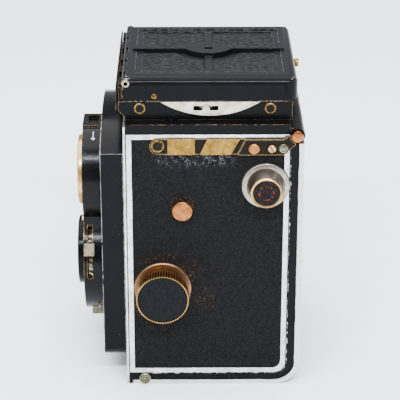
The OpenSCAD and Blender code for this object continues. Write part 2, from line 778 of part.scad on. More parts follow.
module hood_slider() color("#d0ccc2") {
    y = hood_y0 + 33;
    box(hood_x - 1.7, hood_x + 0.6, y - 1.2, y + 1.2, deck_z + 4.2, deck_z + 5.4);
    box(hood_x - 3, hood_x - 2.1, y - 2.4, y + 2.4, deck_z + 3.4, deck_z + 6.2);
    box(hood_x - 2.2, hood_x - 1.6, y - 1.2, y + 1.2, deck_z + 4.2, deck_z + 5.4);
    xbar(hood_x + 0.6, hood_x + 1.5, y, deck_z + 4.8, 1.4);
}

module hood_front_plate() color("#232325") {
    box(-hood_x - 1, hood_x + 1, hood_y0 - 1, hood_y0 - 0.3, deck_z + 4.2, lid_z1 - 3);
    for (x = [-24, 0, 24]) ybar(hood_y0 - 0.3, hood_y0, x, base_z1 - 1.4, 1.4);
}

// Section of the lid across its width: flat top, bent edges, straight sides
module lid_section(m) {
    r = lid_bend - m;
    x = lid_x - m;
    z0 = lid_z0 - (m > 0 ? 1 : 0);
    translate([-x, z0]) square([2 * x, lid_z1 - m - r - z0]);
    translate([r - x, lid_z1 - m - r - eps]) square([2 * (x - r), r + eps]);
    for (s = [-1, 1]) translate([s * (x - r), lid_z1 - m - r]) circle(r);
}

// Section of the lid from front to back: square at the hinge, bent down at the rear
module lid_side(m) {
    r = lid_bend - m;
    y1 = lid_y1 - m;
    z0 = lid_z0 - (m > 0 ? 1 : 0);
    y0 = lid_y0 - (m > 0 ? 1 : 0);
    translate([y0, z0]) square([y1 - y0, lid_z1 - m - r - z0]);
    translate([y0, z0]) square([y1 - r - y0, lid_z1 - m - z0]);
    translate([y1 - r, lid_z1 - m - r]) circle(r);
}

// Plan of the lid, with its two rear corners rounded
module lid_plan(m) {
    r = lid_corner - m;
    x = lid_x - m;
    y1 = lid_y1 - m;
    y0 = lid_y0 - (m > 0 ? 1 : 0);
    translate([-x, y0]) square([2 * x, y1 - r - y0]);
    translate([r - x, y0]) square([2 * (x - r), y1 - y0]);
    for (s = [-1, 1]) translate([s * (x - r), y1 - r]) circle(r);
}

module lid_block(m) intersection() {
    front_profile(lid_y0 - 2, lid_y1 + 1) lid_section(m);
    side_profile(-lid_x - 1, lid_x + 1) lid_side(m);
    translate([0, 0, lid_z0 - 2]) linear_extrude(lid_h + 4) lid_plan(m);
}

module hood_lid() color("#202022") difference() {
    union() {
        difference() {
            lid_block(0);
            intersection() {
                lid_block(lid_t);
                box(-lid_x, lid_x, lid_y0 - 2, lid_y1, lid_z0 - 2, lid_z1 - 0.9 - panel_d);
            }
        }
        for (i = [1 : 2 : lid_knuckles - 1]) {
            x = knuckle_x0(i) + 0.15;
            xbar(x, x + knuckle_l - 0.3, lid_pin_y, lid_pin_z, lid_knuckle);
        }
        both_sides() box(mag_arm_x + 0.35, mag_arm_x + 2, lid_pin_y + mag_d - 1.4,
            lid_pin_y + mag_d + 1.4, mag_z - 1.1, lid_z1 - panel_d - 0.5);
    }
    box(-panel_x, panel_x, panel_y0, panel_y1, lid_z1 - panel_d, lid_z1 + 1);
    box(-panel_x - rim_w, panel_x + rim_w, panel_y0 - rim_w, panel_y1 + rim_w,
        lid_z1 - rim_d, lid_z1 + 1);
    box(-rib_w, rib_w, panel_y0 - rib_l, panel_y1 + rib_l, lid_z1 - rim_d, lid_z1 + 1);
    box(-1.2, 1.2, rib_y - 1.5, rib_y + 1.5, lid_z1 - 5, lid_z1 + 1);
    for (i = [0 : 2 : lid_knuckles - 1]) {
        x = knuckle_x0(i);
        xbar(x - 0.15, x + knuckle_l + 0.15, lid_pin_y, lid_pin_z, lid_knuckle + gap);
        box(x - 0.15, x + knuckle_l + 0.15, lid_y0 - 1, lid_pin_y, lid_pin_z - 3, lid_z1 + 1);
    }
    xbar(-lid_x - 1, lid_x + 1, lid_pin_y, lid_pin_z, lid_pin_r + run);
    xbar(-mag_arm_x - 2.5, mag_arm_x + 2.5, lid_pin_y + mag_d, mag_z, 0.6);
    box(-1.3, 1.3, lid_y1 - 3, lid_y1 + 1, lid_z0 + 1.6, lid_z0 + 5.4);
}

// Pointed oval: the overlap of two circles, l long along Y and w wide to each side
module pointed_oval(l, w) {
    r = (l * l + w * w) / (2 * w);
    translate([0, rib_y]) intersection() {
        translate([r - w, 0]) circle(r, $fn = 120);
        translate([w - r, 0]) circle(r, $fn = 120);
    }
}

// Outline of the two ribs, the long one running past the recess by a given length
module rib_outline(m, past) {
    translate([-panel_x, rib_y - 1.65 - m]) square([2 * panel_x, 3.3 + 2 * m]);
    translate([-rib_w - m, panel_y0 - past])
        square([2 * (rib_w + m), panel_y1 - panel_y0 + 2 * past]);
}

module lid_leather() color("#262527")
    translate([0, 0, lid_z1 - panel_d]) linear_extrude(lid_leather_t) difference() {
        translate([-panel_x + 0.1, panel_y0 + 0.1])
            square([2 * panel_x - 0.2, panel_y1 - panel_y0 - 0.2]);
        rib_outline(0.1, 0);
        pointed_oval(well_l, well_w);
    }

module lid_cross() color("#29292b") difference() {
    union() {
        translate([0, 0, lid_z1 - panel_d]) linear_extrude(panel_d - rim_d) rib_outline(0, 0);
        translate([0, 0, lid_z1 - panel_d]) linear_extrude(panel_d + rib_h)
            pointed_oval(boss_l, boss_w);
        box(-rib_w, rib_w, panel_y0 - rib_l, panel_y1 + rib_l, lid_z1 - rim_d, lid_z1 + rib_h);
    }
    box(-1.2, 1.2, rib_y - 1.5, rib_y + 1.5, lid_z1 - 2, lid_z1 + 2);
}

module lid_catch() color("#b08a50") {
    z = lid_z0 + 4.1;
    box(-1, 1, lid_y1 - 1.6, lid_y1 + 0.3, z - 0.9, z + 0.9);
    box(-2.4, 2.4, lid_y1 - 2.4, lid_y1 - 1.3, z - 1.5, z + 1.5);
    ybar(lid_y1 + 0.3, lid_y1 + 1.9, 0, z, 1.6);
}

// Pins on which the lid and the three flaps turn
module hood_pins() color("#a8a69f") {
    xbar(-lid_x - 0.3, lid_x + 0.3, lid_pin_y, lid_pin_z, lid_pin_r);
    both_sides() xbar(lid_x + 0.3, lid_x + 0.8, lid_pin_y, lid_pin_z, 1.1);
    both_sides() ybar(flap_y0 - 1.7, flap_rear_y - 1.1, flap_x, flap_z, flap_pin);
    xbar(3.4 - flap_x, flap_x - 3.4, flap_rear_y, flap_z, flap_pin);
    both_sides() xbar(flap_x - 3.4, flap_x - 2.1, flap_rear_y, flap_z, flap_pin);
}

// Side flap: mitred at the back against the rear flap, sloped at the front under the lid
module side_flap() {
    y0 = flap_y0 + 0.2;
    y1 = flap_rear_y - 2.7;
    difference() {
        union() {
            ybar(y0, y1, flap_x, flap_z, flap_barrel);
            translate([0, 0, flap_z]) linear_extrude(flap_t) polygon([
                [flap_x, y0], [flap_x - 8, y0], [flap_x - flap_h, y0 + 13],
                [flap_x - flap_h, flap_rear_y - flap_h - 1.4], [flap_x - 3, y1 - 1.4 + 0.4],
                [flap_x - 1, y1], [flap_x, y1]
            ]);
        }
        ybar(y0 - 1, y1 + 1, flap_x, flap_z, flap_pin + run);
    }
}

module flap_left() color("#232325") side_flap();
module flap_right() color("#232325") mirror([1, 0, 0]) side_flap();

module flap_rear() color("#232325") {
    x = flap_x - 3.7;
    difference() {
        union() {
            xbar(-x, x, flap_rear_y, flap_z, flap_barrel);
            translate([0, 0, flap_z]) linear_extrude(flap_t) polygon([
                [-x, flap_rear_y], [x, flap_rear_y], [x, flap_rear_y - 2.3],
                [flap_x - flap_h, flap_rear_y - flap_h], [flap_h - flap_x, flap_rear_y - flap_h],
                [-x, flap_rear_y - 2.3]
            ]);
        }
        xbar(-x - 1, x + 1, flap_rear_y, flap_z, flap_pin + run);
    }
}

// Magnifier: a square frame on two arms, with its lens let in
module magnifier() color("#303032") {
    y0 = lid_pin_y + mag_d;
    difference() {
        union() {
            box(-mag_arm_x, mag_arm_x, y0 + 1.6, y0 + mag_l, mag_z - 0.7, mag_z + 0.7);
            both_sides() {
                box(mag_arm_x - 2.4, mag_arm_x, y0, y0 + 2, mag_z - 0.7, mag_z + 0.7);
                xbar(mag_arm_x - 2.4, mag_arm_x, y0, mag_z, 1);
                xbar(mag_arm_x - 1, mag_arm_x + 1.9, y0, mag_z, 0.55);
            }
        }
        zbar(mag_z - 2, mag_z + 2, 0, y0 + 18, 14);
    }
    zbar(mag_z - 0.5, mag_z + 0.5, 0, y0 + 18, 14);
}

// Hinged back: one L-shaped pressing with side flanges, a hinge knuckle and latch cheeks
module cover_outline(m) {
    difference() {
        heel_rect(shell_front + 1.6 + m, rear_y - m, m, cover_top - m, corner_r - m);
        heel_rect(front_y - 5, rear_y - cover_t + m, cover_t - m, deck_z + 5, inner_r);
    }
}

module back_cover() color("#1b1b1d") difference() {
    union() {
        side_profile(-skin_x, skin_x) cover_outline(0);
        xbar(-knuckle_x, knuckle_x, hinge_y, hinge_z, hinge_r);
        box(-knuckle_x, knuckle_x, hinge_y - 0.4, hinge_y + 2.6, cover_top - 1, hinge_z);
    }
    side_profile(2 - skin_x, skin_x - 2) difference() {
        heel_rect(latch_y + 6, rear_y - cover_skin, cover_skin, cover_top - cover_skin,
            corner_r - cover_skin);
        translate([latch_y, -1]) square([14 - latch_y + 2, 4.6]);
    }
    box(-latch_x, latch_x, front_y - 1, latch_y + 2.9, -1, cover_t + 1);
    difference() {
        box(-14.8, 14.8, latch_y + 2, 14, -1, 2.1);
        zbar(-2, 4, 0, 0, bush_r + 1.4);
    }
    zbar(-1, cover_t + 1, 0, 0, bush_r);
    xbar(-knuckle_x - 1, knuckle_x + 1, hinge_y, hinge_z, pin_r + run);
    xbar(-hw - 1, hw + 1, latch_y, latch_z, pin_r);
    box(4 - hw, hw - 4, rear_y - leather_t, rear_y + 1, corner_r + 3, cover_top - 6);
}

module back_leather() color("#232224")
    box(4.2 - hw, hw - 4.2, rear_y - leather_t, rear_y - 0.02, corner_r + 3.2, cover_top - 6.2);

module pressure_plate() color("#29292b")
    box(-plate_x, plate_x, gate_y + 2.1, gate_y + 3, take_z - plate_z, take_z + plate_z);

// Bowed leaf spring: its middle bears on the pressure plate and its ends on the back
module pressure_spring() color("#9a9a98") {
    y0 = gate_y + 3;
    y1 = rear_y - cover_skin;
    half = 25;
    bow_r = (half * half + pow(y1 - y0, 2)) / (2 * (y1 - y0));
    side_profile(-5, 5) intersection() {
        difference() {
            translate([y0 + bow_r, take_z]) circle(bow_r, $fn = 180);
            translate([y0 + bow_r, take_z]) circle(bow_r - 0.5, $fn = 180);
        }
        translate([y0 - 1, take_z - half]) square([y1 - y0 + 1, 2 * half]);
    }
}

module back_hinge_pin() color("#b08a50") {
    xbar(-skin_x, skin_x, hinge_y, hinge_z, pin_r);
    both_sides() {
        xbar(skin_x, skin_x + head_t, hinge_y, hinge_z, head_r);
        xbar(skin_x + head_t, skin_x + head_t + 0.4, hinge_y, hinge_z, head_r, head_r - 0.5);
    }
}

// Latch: a bail folded flat round the tripod bush, with two noses that reach into the body
module latch_bail() color("#c9c6bd") difference() {
    union() {
        xbar(gap - latch_x, latch_x - gap, latch_y, latch_z, 2.6);
        both_sides() {
            box(14, 20, nose_y, latch_y, latch_z - 1.2, latch_z + 1.2);
            box(14, 20, nose_y, nose_y + 1.6, latch_z - 1.2, shell_z0 + 2.7);
            box(11.2, 14.2, latch_y, 13, 0.3, 1.8);
        }
        box(-14.2, 14.2, 10, 13, 0.3, 1.8);
    }
    xbar(-hw, hw, latch_y, latch_z, pin_r + run);
}

module latch_pin() color("#a8a69f") {
    xbar(-skin_x, skin_x, latch_y, latch_z, pin_r);
    both_sides() difference() {
        xbar(skin_x, skin_x + 1, latch_y, latch_z, head_r);
        xbar(skin_x + 0.6, skin_x + 2, latch_y, latch_z, head_r - 0.8);
    }
}

module tripod_bush() color("#c9c6bd") difference() {
    zbar(0, cover_t - 0.2, 0, 0, bush_r);
    zbar(-1, cover_t + 1, 0, 0, tripod_core_r);
}

body_shell();
front_frame();
side_trims();
side_leathers();
film_gate();
guide_roller_upper();
guide_roller_lower();
take_up_spool();
reflex_mirror();
focusing_screen();
screen_frame();
strap_brackets();
strap_bars();
brass_screws();
side_button();
focus_knob_base();
focus_knob();
focus_knob_insert();
focus_shaft();
spool_knob_plate();
spool_knob();
spool_knob_insert();
crank_plate();
crank_arm();
crank_grip();
crank_grip_pin();
front_standard();
shutter_housing();
viewing_ring();
taking_ring();
viewing_barrel();
taking_barrel();
lens_glasses();
shutter_blades();
aperture_blades();
speed_lever();
aperture_lever();
release_lever();
housing_screws();
hood_base();
hood_side_plates();
hood_slider();
hood_front_plate();
hood_lid();
lid_leather();
lid_cross();
hood_pins();
lid_catch();
flap_left();
flap_right();
flap_rear();
magnifier();
back_cover();
back_leather();
pressure_plate();
pressure_spring();
back_hinge_pin();
latch_bail();
latch_pin();
tripod_bush();
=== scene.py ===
import bpy
import json
from math import atan2, pi, radians
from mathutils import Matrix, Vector


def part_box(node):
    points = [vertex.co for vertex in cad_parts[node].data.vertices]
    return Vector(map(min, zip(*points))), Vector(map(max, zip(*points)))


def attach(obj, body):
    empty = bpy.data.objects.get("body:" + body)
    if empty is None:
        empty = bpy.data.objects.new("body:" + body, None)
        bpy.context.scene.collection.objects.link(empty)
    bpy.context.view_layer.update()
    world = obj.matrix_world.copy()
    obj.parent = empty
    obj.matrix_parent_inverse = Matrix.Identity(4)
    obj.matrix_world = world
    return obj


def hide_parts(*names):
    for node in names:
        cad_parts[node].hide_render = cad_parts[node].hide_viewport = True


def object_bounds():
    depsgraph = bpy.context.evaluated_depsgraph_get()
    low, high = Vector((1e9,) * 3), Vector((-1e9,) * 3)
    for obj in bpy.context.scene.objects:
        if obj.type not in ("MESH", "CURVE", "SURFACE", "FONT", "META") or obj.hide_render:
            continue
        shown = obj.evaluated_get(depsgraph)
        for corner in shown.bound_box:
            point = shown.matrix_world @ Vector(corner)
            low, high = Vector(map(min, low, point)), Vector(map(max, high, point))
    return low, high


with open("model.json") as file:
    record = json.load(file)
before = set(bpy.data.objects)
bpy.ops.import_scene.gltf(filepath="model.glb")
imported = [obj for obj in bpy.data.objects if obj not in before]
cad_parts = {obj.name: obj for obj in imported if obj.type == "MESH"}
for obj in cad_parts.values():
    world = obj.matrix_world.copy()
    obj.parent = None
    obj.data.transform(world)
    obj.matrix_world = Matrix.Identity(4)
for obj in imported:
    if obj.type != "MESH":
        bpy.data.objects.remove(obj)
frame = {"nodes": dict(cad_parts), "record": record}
cad_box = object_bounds()

mm = 0.001

# Places that many pieces share, in millimetres, as the CAD has them.
SIDE = 37.5            # outside of the leather on each side
STRAP_Z = 103.1        # middle of the strap bracket
SPOOL = (19.8, 87.1)   # y, z of the spool knob and the winding crank
KNOB = (-19.75, 43.2)  # y, z of the focusing knob
BUTTON = (-12.0, 77.2)
HINGE = (31.5, 107.0)
LATCH = (-27.2, 2.9)
VIEW_Z = 78.3          # viewing lens
TAKE_Z = 42.8          # taking lens


# ---------------------------------------------------------------- shader tools

def linear(code):
    """The linear colour of an sRGB hex value."""
    parts = [int(code[i:i + 2], 16) / 255 for i in (1, 3, 5)]
    return [c / 12.92 if c <= 0.04045 else ((c + 0.055) / 1.055) ** 2.4 for c in parts] + [1.0]


def add(tree, kind, links=None, **settings):
    """Adds one node, with its settings, and its inputs as values or as links."""
    node = tree.nodes.new("ShaderNode" + kind)
    for name, value in settings.items():
        setattr(node, name, value)
    for socket, source in (links or {}).items():
        if isinstance(source, bpy.types.NodeSocket):
            tree.links.new(source, node.inputs[socket])
        else:
            node.inputs[socket].default_value = source
    return node


def blank(name):
    """A new material with only its shader."""
    material = bpy.data.materials.new(name)
    material.use_nodes = True
    tree = material.node_tree
    return material, tree, tree.nodes["Principled BSDF"]


def worn_edge(tree, place, reach, wear, patch=1.7):
    """1 where handling has rubbed an edge bare, 0 elsewhere: the edge is found from a rounded normal."""
    rounded = add(tree, "Bevel", {"Radius": reach * mm}, samples=6)
    flat = add(tree, "NewGeometry")
    agree = add(tree, "VectorMath", {0: rounded.outputs[0], 1: flat.outputs["Normal"]},
                operation="DOT_PRODUCT")
    edge = add(tree, "MapRange", {"Value": agree.outputs["Value"], "From Min": 1.0, "From Max": 0.78})
    rub = add(tree, "TexNoise", {"Vector": place, "Scale": 1000 / patch, "Detail": 5.0,
                                 "Roughness": 0.65})
    score = add(tree, "Math", {0: rub.outputs["Fac"], 1: edge.outputs[0]}, operation="ADD")
    start = 1.62 - wear
    return add(tree, "MapRange", {"Value": score.outputs[0], "From Min": start,
                                  "From Max": start + 0.12}).outputs[0]


def enamel(name, colour, roughness, peel_mm, peel, wear, bare, bare_roughness=0.34, reach=0.6,
           bald=None, level=0.06, patch=1.7, dust=0.0, painted_top_sheen=None):
    """Baked enamel on metal: a sprayed skin with orange peel, rubbed through to the metal at its edges."""
    material, tree, shader = blank(name)
    place = add(tree, "TexCoord").outputs["Object"]
    worn = worn_edge(tree, place, reach, wear, patch)
    if bald is not None:
        worn = add(tree, "Math", {0: worn, 1: bald(tree, place)}, operation="MAXIMUM").outputs[0]
    cloud = add(tree, "TexNoise", {"Vector": place, "Scale": 1000 / 9.0, "Detail": 4.0})
    skin = add(tree, "Mix", {0: cloud.outputs["Fac"], 6: linear(colour[0]), 7: linear(colour[1])},
               data_type="RGBA")
    coat = skin.outputs[2]
    if dust:
        fleck = add(tree, "TexVoronoi", {"Vector": place, "Scale": 1000 / 2.6, "Randomness": 1.0})
        size = add(tree, "MapRange", {"Value": fleck.outputs["Distance"], "From Min": 0.045,
                                      "From Max": 0.02, "To Max": dust})
        coat = add(tree, "Mix", {0: size.outputs[0], 6: coat, 7: linear("#c9c7c0")},
                   data_type="RGBA").outputs[2]
    # Painted sheen: faces that look upwards are mixed towards a lighter grey, standing for the light they
    # catch from above.
    if painted_top_sheen:
        split = add(tree, "SeparateXYZ", {0: add(tree, "NewGeometry").outputs["Normal"]})
        level_face = add(tree, "MapRange", {"Value": split.outputs["Z"], "From Min": 0.75,
                                            "From Max": 1.0})
        coat = add(tree, "Mix", {0: level_face.outputs[0], 6: coat, 7: linear(painted_top_sheen)},
                   data_type="RGBA").outputs[2]
    stain = add(tree, "TexNoise", {"Vector": place, "Scale": 1000 / 1.1, "Detail": 3.0})
    metal = add(tree, "Mix", {0: stain.outputs["Fac"], 6: linear(bare[0]), 7: linear(bare[1])},
                data_type="RGBA")
    paint = add(tree, "Mix", {0: worn, 6: coat, 7: metal.outputs[2]}, data_type="RGBA")
    tree.links.new(paint.outputs[2], shader.inputs["Base Color"])
    tree.links.new(worn, shader.inputs["Metallic"])
    dull = add(tree, "MapRange", {"Value": cloud.outputs["Fac"], "From Min": 0.3, "From Max": 0.7,
                                  "To Min": roughness * 0.8, "To Max": roughness * 1.25})
    rough = add(tree, "Mix", {0: worn, 2: dull.outputs[0], 3: bare_roughness}, data_type="FLOAT")
    tree.links.new(rough.outputs[0], shader.inputs["Roughness"])
    skin_noise = add(tree, "TexNoise", {"Vector": place, "Scale": 1000 / peel_mm, "Detail": 2.0})
    step = add(tree, "Math", {0: skin_noise.outputs["Fac"], 1: worn}, operation="SUBTRACT")
    bump = add(tree, "Bump", {"Height": step.outputs[0], "Strength": peel, "Distance": 0.05 * mm})
    tree.links.new(bump.outputs[0], shader.inputs["Normal"])
    shader.inputs["Specular IOR Level"].default_value = level
    return material


def metal(name, bright, dull, roughness, grain_mm, grain, stain_mm=3.0, spin=0.0, brushed=None,
          dirt_and_shade=None, dirt_and_shade_reach=0.5, shade=None):
    """Bare metal: a cut or plated surface, stained in patches, with dirt and painted shade darkening its
    corners.
    """
    material, tree, shader = blank(name)
    place = add(tree, "TexCoord").outputs["Object"]
    stain = add(tree, "TexNoise", {"Vector": place, "Scale": 1000 / stain_mm, "Detail": 6.0,
                                   "Roughness": 0.6})
    spread = add(tree, "MapRange", {"Value": stain.outputs["Fac"], "From Min": 0.36, "From Max": 0.66})
    tone = add(tree, "Mix", {0: spread.outputs[0], 6: linear(bright), 7: linear(dull)},
               data_type="RGBA")
    colour = tone.outputs[2]
    # Dirt and painted shade: corners found by ambient occlusion are darkened towards one colour.
    if dirt_and_shade:
        crease = add(tree, "AmbientOcclusion", {"Distance": dirt_and_shade_reach * mm}, samples=4,
                     only_local=True)
        hollow = add(tree, "MapRange", {"Value": crease.outputs["AO"], "From Min": 0.75,
                                        "From Max": 0.35, "To Max": 0.9})
        colour = add(tree, "Mix", {0: hollow.outputs[0], 6: colour, 7: linear(dirt_and_shade)},
                     data_type="RGBA").outputs[2]
    if shade is not None:
        colour = shade(tree, place, colour)
    tree.links.new(colour, shader.inputs["Base Color"])
    shader.inputs["Metallic"].default_value = 1.0
    rough = add(tree, "MapRange", {"Value": stain.outputs["Fac"], "From Min": 0.3, "From Max": 0.7,
                                   "To Min": roughness * 0.75, "To Max": roughness * 1.35})
    tree.links.new(rough.outputs[0], shader.inputs["Roughness"])
    stretch = add(tree, "Mapping", {"Vector": place, "Scale": brushed or (1.0, 1.0, 1.0)})
    cut = add(tree, "TexNoise", {"Vector": stretch.outputs[0], "Scale": 1000 / grain_mm, "Detail": 3.0})
    bump = add(tree, "Bump", {"Height": cut.outputs["Fac"], "Strength": grain, "Distance": 0.04 * mm})
    tree.links.new(bump.outputs[0], shader.inputs["Normal"])
    if spin:
        shader.inputs["Anisotropic"].default_value = spin
        tangent = add(tree, "Tangent", direction_type="RADIAL", axis="X")
        tree.links.new(tangent.outputs[0], shader.inputs["Tangent"])
    return material


def leather(name, dark, light, grain_mm, depth, stretch=(1, 1, 1), specks=None, scuffs=None):
    """Pressed leatherette: pebbles with creases between them, dull on top, with painted shade darkening
    the creases.
    """
    material, tree, shader = blank(name)
    place = add(tree, "TexCoord").outputs["Object"]
    pull = add(tree, "Mapping", {"Vector": place, "Scale": stretch})
    warp = add(tree, "TexNoise", {"Vector": pull.outputs[0], "Scale": 1000 / (grain_mm * 2.2),
                                  "Detail": 3.0})
    offset = add(tree, "VectorMath", {0: warp.outputs["Color"], 1: (0.5, 0.5, 0.5)},
                 operation="SUBTRACT")
    amount = add(tree, "VectorMath", {0: offset.outputs[0], "Scale": grain_mm * 1.5 * mm},
                 operation="SCALE")
    moved = add(tree, "VectorMath", {0: pull.outputs[0], 1: amount.outputs[0]}, operation="ADD")
    cells = add(tree, "TexVoronoi", {"Vector": moved.outputs[0], "Scale": 1000 / grain_mm,
                                     "Smoothness": 0.35}, feature="SMOOTH_F1")
    pebble = add(tree, "MapRange", {"Value": cells.outputs["Distance"], "From Min": 0.62,
                                    "From Max": 0.12})
    fine = add(tree, "TexNoise", {"Vector": place, "Scale": 1000 / 0.28, "Detail": 4.0,
                                  "Roughness": 0.7})
    height = add(tree, "Math", {0: fine.outputs["Fac"], 1: 0.35, 2: pebble.outputs[0]},
                 operation="MULTIPLY_ADD")
    bump = add(tree, "Bump", {"Height": height.outputs[0], "Strength": depth, "Distance": 0.14 * mm})
    tree.links.new(bump.outputs[0], shader.inputs["Normal"])
    # Painted shade: the creases between the pebbles are given the darker colour.
    tone = add(tree, "Mix", {0: pebble.outputs[0], 6: linear(dark), 7: linear(light)}, data_type="RGBA")
    colour = tone.outputs[2]
    if specks is not None:
        colour = specks(tree, place, colour)
    if scuffs is not None:
        colour = scuffs(tree, place, colour)
    tree.links.new(colour, shader.inputs["Base Color"])
    rough = add(tree, "MapRange", {"Value": pebble.outputs[0], "To Min": 0.75, "To Max": 0.5})
    tree.links.new(rough.outputs[0], shader.inputs["Roughness"])
    shader.inputs["Specular IOR Level"].default_value = 0.1
    return material


# ------------------------------------------------------------------- materials

def side_specks(tree, place, colour):
    """Brown dust in the grain, thickest round the focusing knob and under the push button."""
    grit = add(tree, "TexNoise", {"Vector": place, "Scale": 1000 / 0.7, "Detail": 5.0,
                                  "Roughness": 0.7})
    area = add(tree, "TexNoise", {"Vector": place, "Scale": 1000 / 14.0, "Detail": 2.0})
    away = add(tree, "VectorMath", {0: place, 1: (SIDE * mm, KNOB[0] * mm, KNOB[1] * mm)},
               operation="DISTANCE")
    near = add(tree, "MapRange", {"Value": away.outputs["Value"], "From Min": 10 * mm,
                                  "From Max": 26 * mm, "To Min": 0.13, "To Max": 0.0})
    button = add(tree, "VectorMath", {0: place, 1: (SIDE * mm, BUTTON[0] * mm, (BUTTON[1] + 1) * mm)},
                 operation="DISTANCE")
    rust = add(tree, "MapRange", {"Value": button.outputs["Value"], "From Min": 4 * mm,
                                  "From Max": 6.5 * mm, "To Min": 0.16, "To Max": 0.0})
    close = add(tree, "Math", {0: near.outputs[0], 1: rust.outputs[0]}, operation="MAXIMUM")
    sum_a = add(tree, "Math", {0: area.outputs["Fac"], 1: 0.35, 2: close.outputs[0]},
                operation="MULTIPLY_ADD")
    sum_b = add(tree, "Math", {0: grit.outputs["Fac"], 1: sum_a.outputs[0]}, operation="ADD")
    spot = add(tree, "MapRange", {"Value": sum_b.outputs[0], "From Min": 0.86, "From Max": 0.97,
                                  "To Max": 0.75})
    return add(tree, "Mix", {0: spot.outputs[0], 6: colour, 7: linear("#6b4a24")},
               data_type="RGBA").outputs[2]


def strap_scuffs(tree, place, colour):
    """Pale crazing rubbed into the leather where the strap hangs, just under its bracket."""
    split = add(tree, "SeparateXYZ", {0: place})
    low = add(tree, "MapRange", {"Value": split.outputs["Z"], "From Min": 93.5 * mm,
                                 "From Max": 98 * mm})
    back = add(tree, "MapRange", {"Value": split.outputs["Y"], "From Min": 9 * mm, "From Max": 4 * mm})
    front = add(tree, "MapRange", {"Value": split.outputs["Y"], "From Min": -24 * mm,
                                   "From Max": -17 * mm})
    zone_a = add(tree, "Math", {0: low.outputs[0], 1: back.outputs[0]}, operation="MULTIPLY")
    zone = add(tree, "Math", {0: zone_a.outputs[0], 1: front.outputs[0]}, operation="MULTIPLY")
    crack = add(tree, "TexVoronoi", {"Vector": place, "Scale": 1000 / 1.0}, feature="DISTANCE_TO_EDGE")
    line = add(tree, "MapRange", {"Value": crack.outputs["Distance"], "From Min": 0.07,
                                  "From Max": 0.02})
    break_up = add(tree, "TexNoise", {"Vector": place, "Scale": 1000 / 2.2, "Detail": 3.0})
    some = add(tree, "MapRange", {"Value": break_up.outputs["Fac"], "From Min": 0.47, "From Max": 0.58})
    part = add(tree, "Math", {0: line.outputs[0], 1: some.outputs[0]}, operation="MULTIPLY")
    full = add(tree, "Math", {0: part.outputs[0], 1: zone.outputs[0]}, operation="MULTIPLY")
    return add(tree, "Mix", {0: full.outputs[0], 6: colour, 7: linear("#77767a")},
               data_type="RGBA").outputs[2]


def rubbed_rim(tree, place):
    """1 on the bare outer band of the back's flanges, and on chips along their inner edge."""
    split = add(tree, "SeparateXYZ", {0: place})
    out_y = add(tree, "Math", {0: split.outputs["Y"], 1: 24.3 * mm}, operation="SUBTRACT")
    over_y = add(tree, "Math", {0: out_y.outputs[0], 1: 0.0}, operation="MAXIMUM")
    out_z = add(tree, "Math", {0: 10 * mm, 1: split.outputs["Z"]}, operation="SUBTRACT")
    over_z = add(tree, "Math", {0: out_z.outputs[0], 1: 0.0}, operation="MAXIMUM")
    corner = add(tree, "CombineXYZ", {0: over_y.outputs[0], 1: over_z.outputs[0]})
    away = add(tree, "VectorMath", {0: corner.outputs[0]}, operation="LENGTH")
    wander = add(tree, "TexNoise", {"Vector": place, "Scale": 1000 / 6.0, "Detail": 4.0})
    shaken = add(tree, "Math", {0: wander.outputs["Fac"], 1: 0.5 * mm, 2: away.outputs["Value"]},
                 operation="MULTIPLY_ADD")
    rim = add(tree, "MapRange", {"Value": shaken.outputs[0], "From Min": 8.3 * mm,
                                 "From Max": 8.38 * mm})
    inner = add(tree, "MapRange", {"Value": away.outputs["Value"], "From Min": 5.9 * mm,
                                   "From Max": 4.75 * mm, "To Min": 0.0, "To Max": 0.4})
    chip = add(tree, "TexNoise", {"Vector": place, "Scale": 1000 / 2.2, "Detail": 6.0,
                                  "Roughness": 0.7})
    total = add(tree, "Math", {0: chip.outputs["Fac"], 1: inner.outputs[0]}, operation="ADD")
    chipped = add(tree, "MapRange", {"Value": total.outputs[0], "From Min": 0.86, "From Max": 0.89})
    either = add(tree, "Math", {0: rim.outputs[0], 1: chipped.outputs[0]}, operation="MAXIMUM")
    side = add(tree, "Math", {0: split.outputs["X"]}, operation="ABSOLUTE")
    outer = add(tree, "MapRange", {"Value": side.outputs[0], "From Min": 35.6 * mm,
                                   "From Max": 35.8 * mm})
    return add(tree, "Math", {0: either.outputs[0], 1: outer.outputs[0]},
               operation="MULTIPLY").outputs[0]


BRASS = ("#c2a063", "#87693a")
ALLOY = ("#e3e1da", "#b9b6ae")

# Gloss black baked enamel over a cast body: soft peel, brass-coloured primer at rubbed edges.
black_enamel = enamel("gloss_black_enamel", ("#050506", "#0b0b0c"), 0.2, 1.8, 0.10, 0.16, BRASS)
# The same enamel on the die-cast standard: its edges are rubbed to pale alloy, and it holds dust.
standard_enamel = enamel("gloss_enamel_on_alloy", ("#060608", "#0d0d0f"), 0.16, 2.2, 0.08, 0.25, ALLOY,
                         dust=0.7)
# Satin black enamel on the pressed hood: greyer and more even, pale where the corners are rubbed, with a
# painted sheen lightening its upward faces.
satin_enamel = enamel("satin_black_enamel", ("#09090a", "#101012"), 0.12, 0.9, 0.04, 0.15, ALLOY,
                      reach=0.45, level=0.04, painted_top_sheen="#18191a")
# Enamel on the brass hood base: flecks of bare brass along every edge.
hood_enamel = enamel("black_enamel_on_brass", ("#050506", "#0b0b0a"), 0.26, 1.4, 0.12, 0.22, BRASS)
# Enamel on the strap bracket: handled most, so its edges are a nearly whole line of brass.
strap_enamel = enamel("worn_strap_enamel", ("#0b0b0a", "#17130c"), 0.4, 0.8, 0.3, 0.74, BRASS,
                      reach=0.6, patch=2.4)
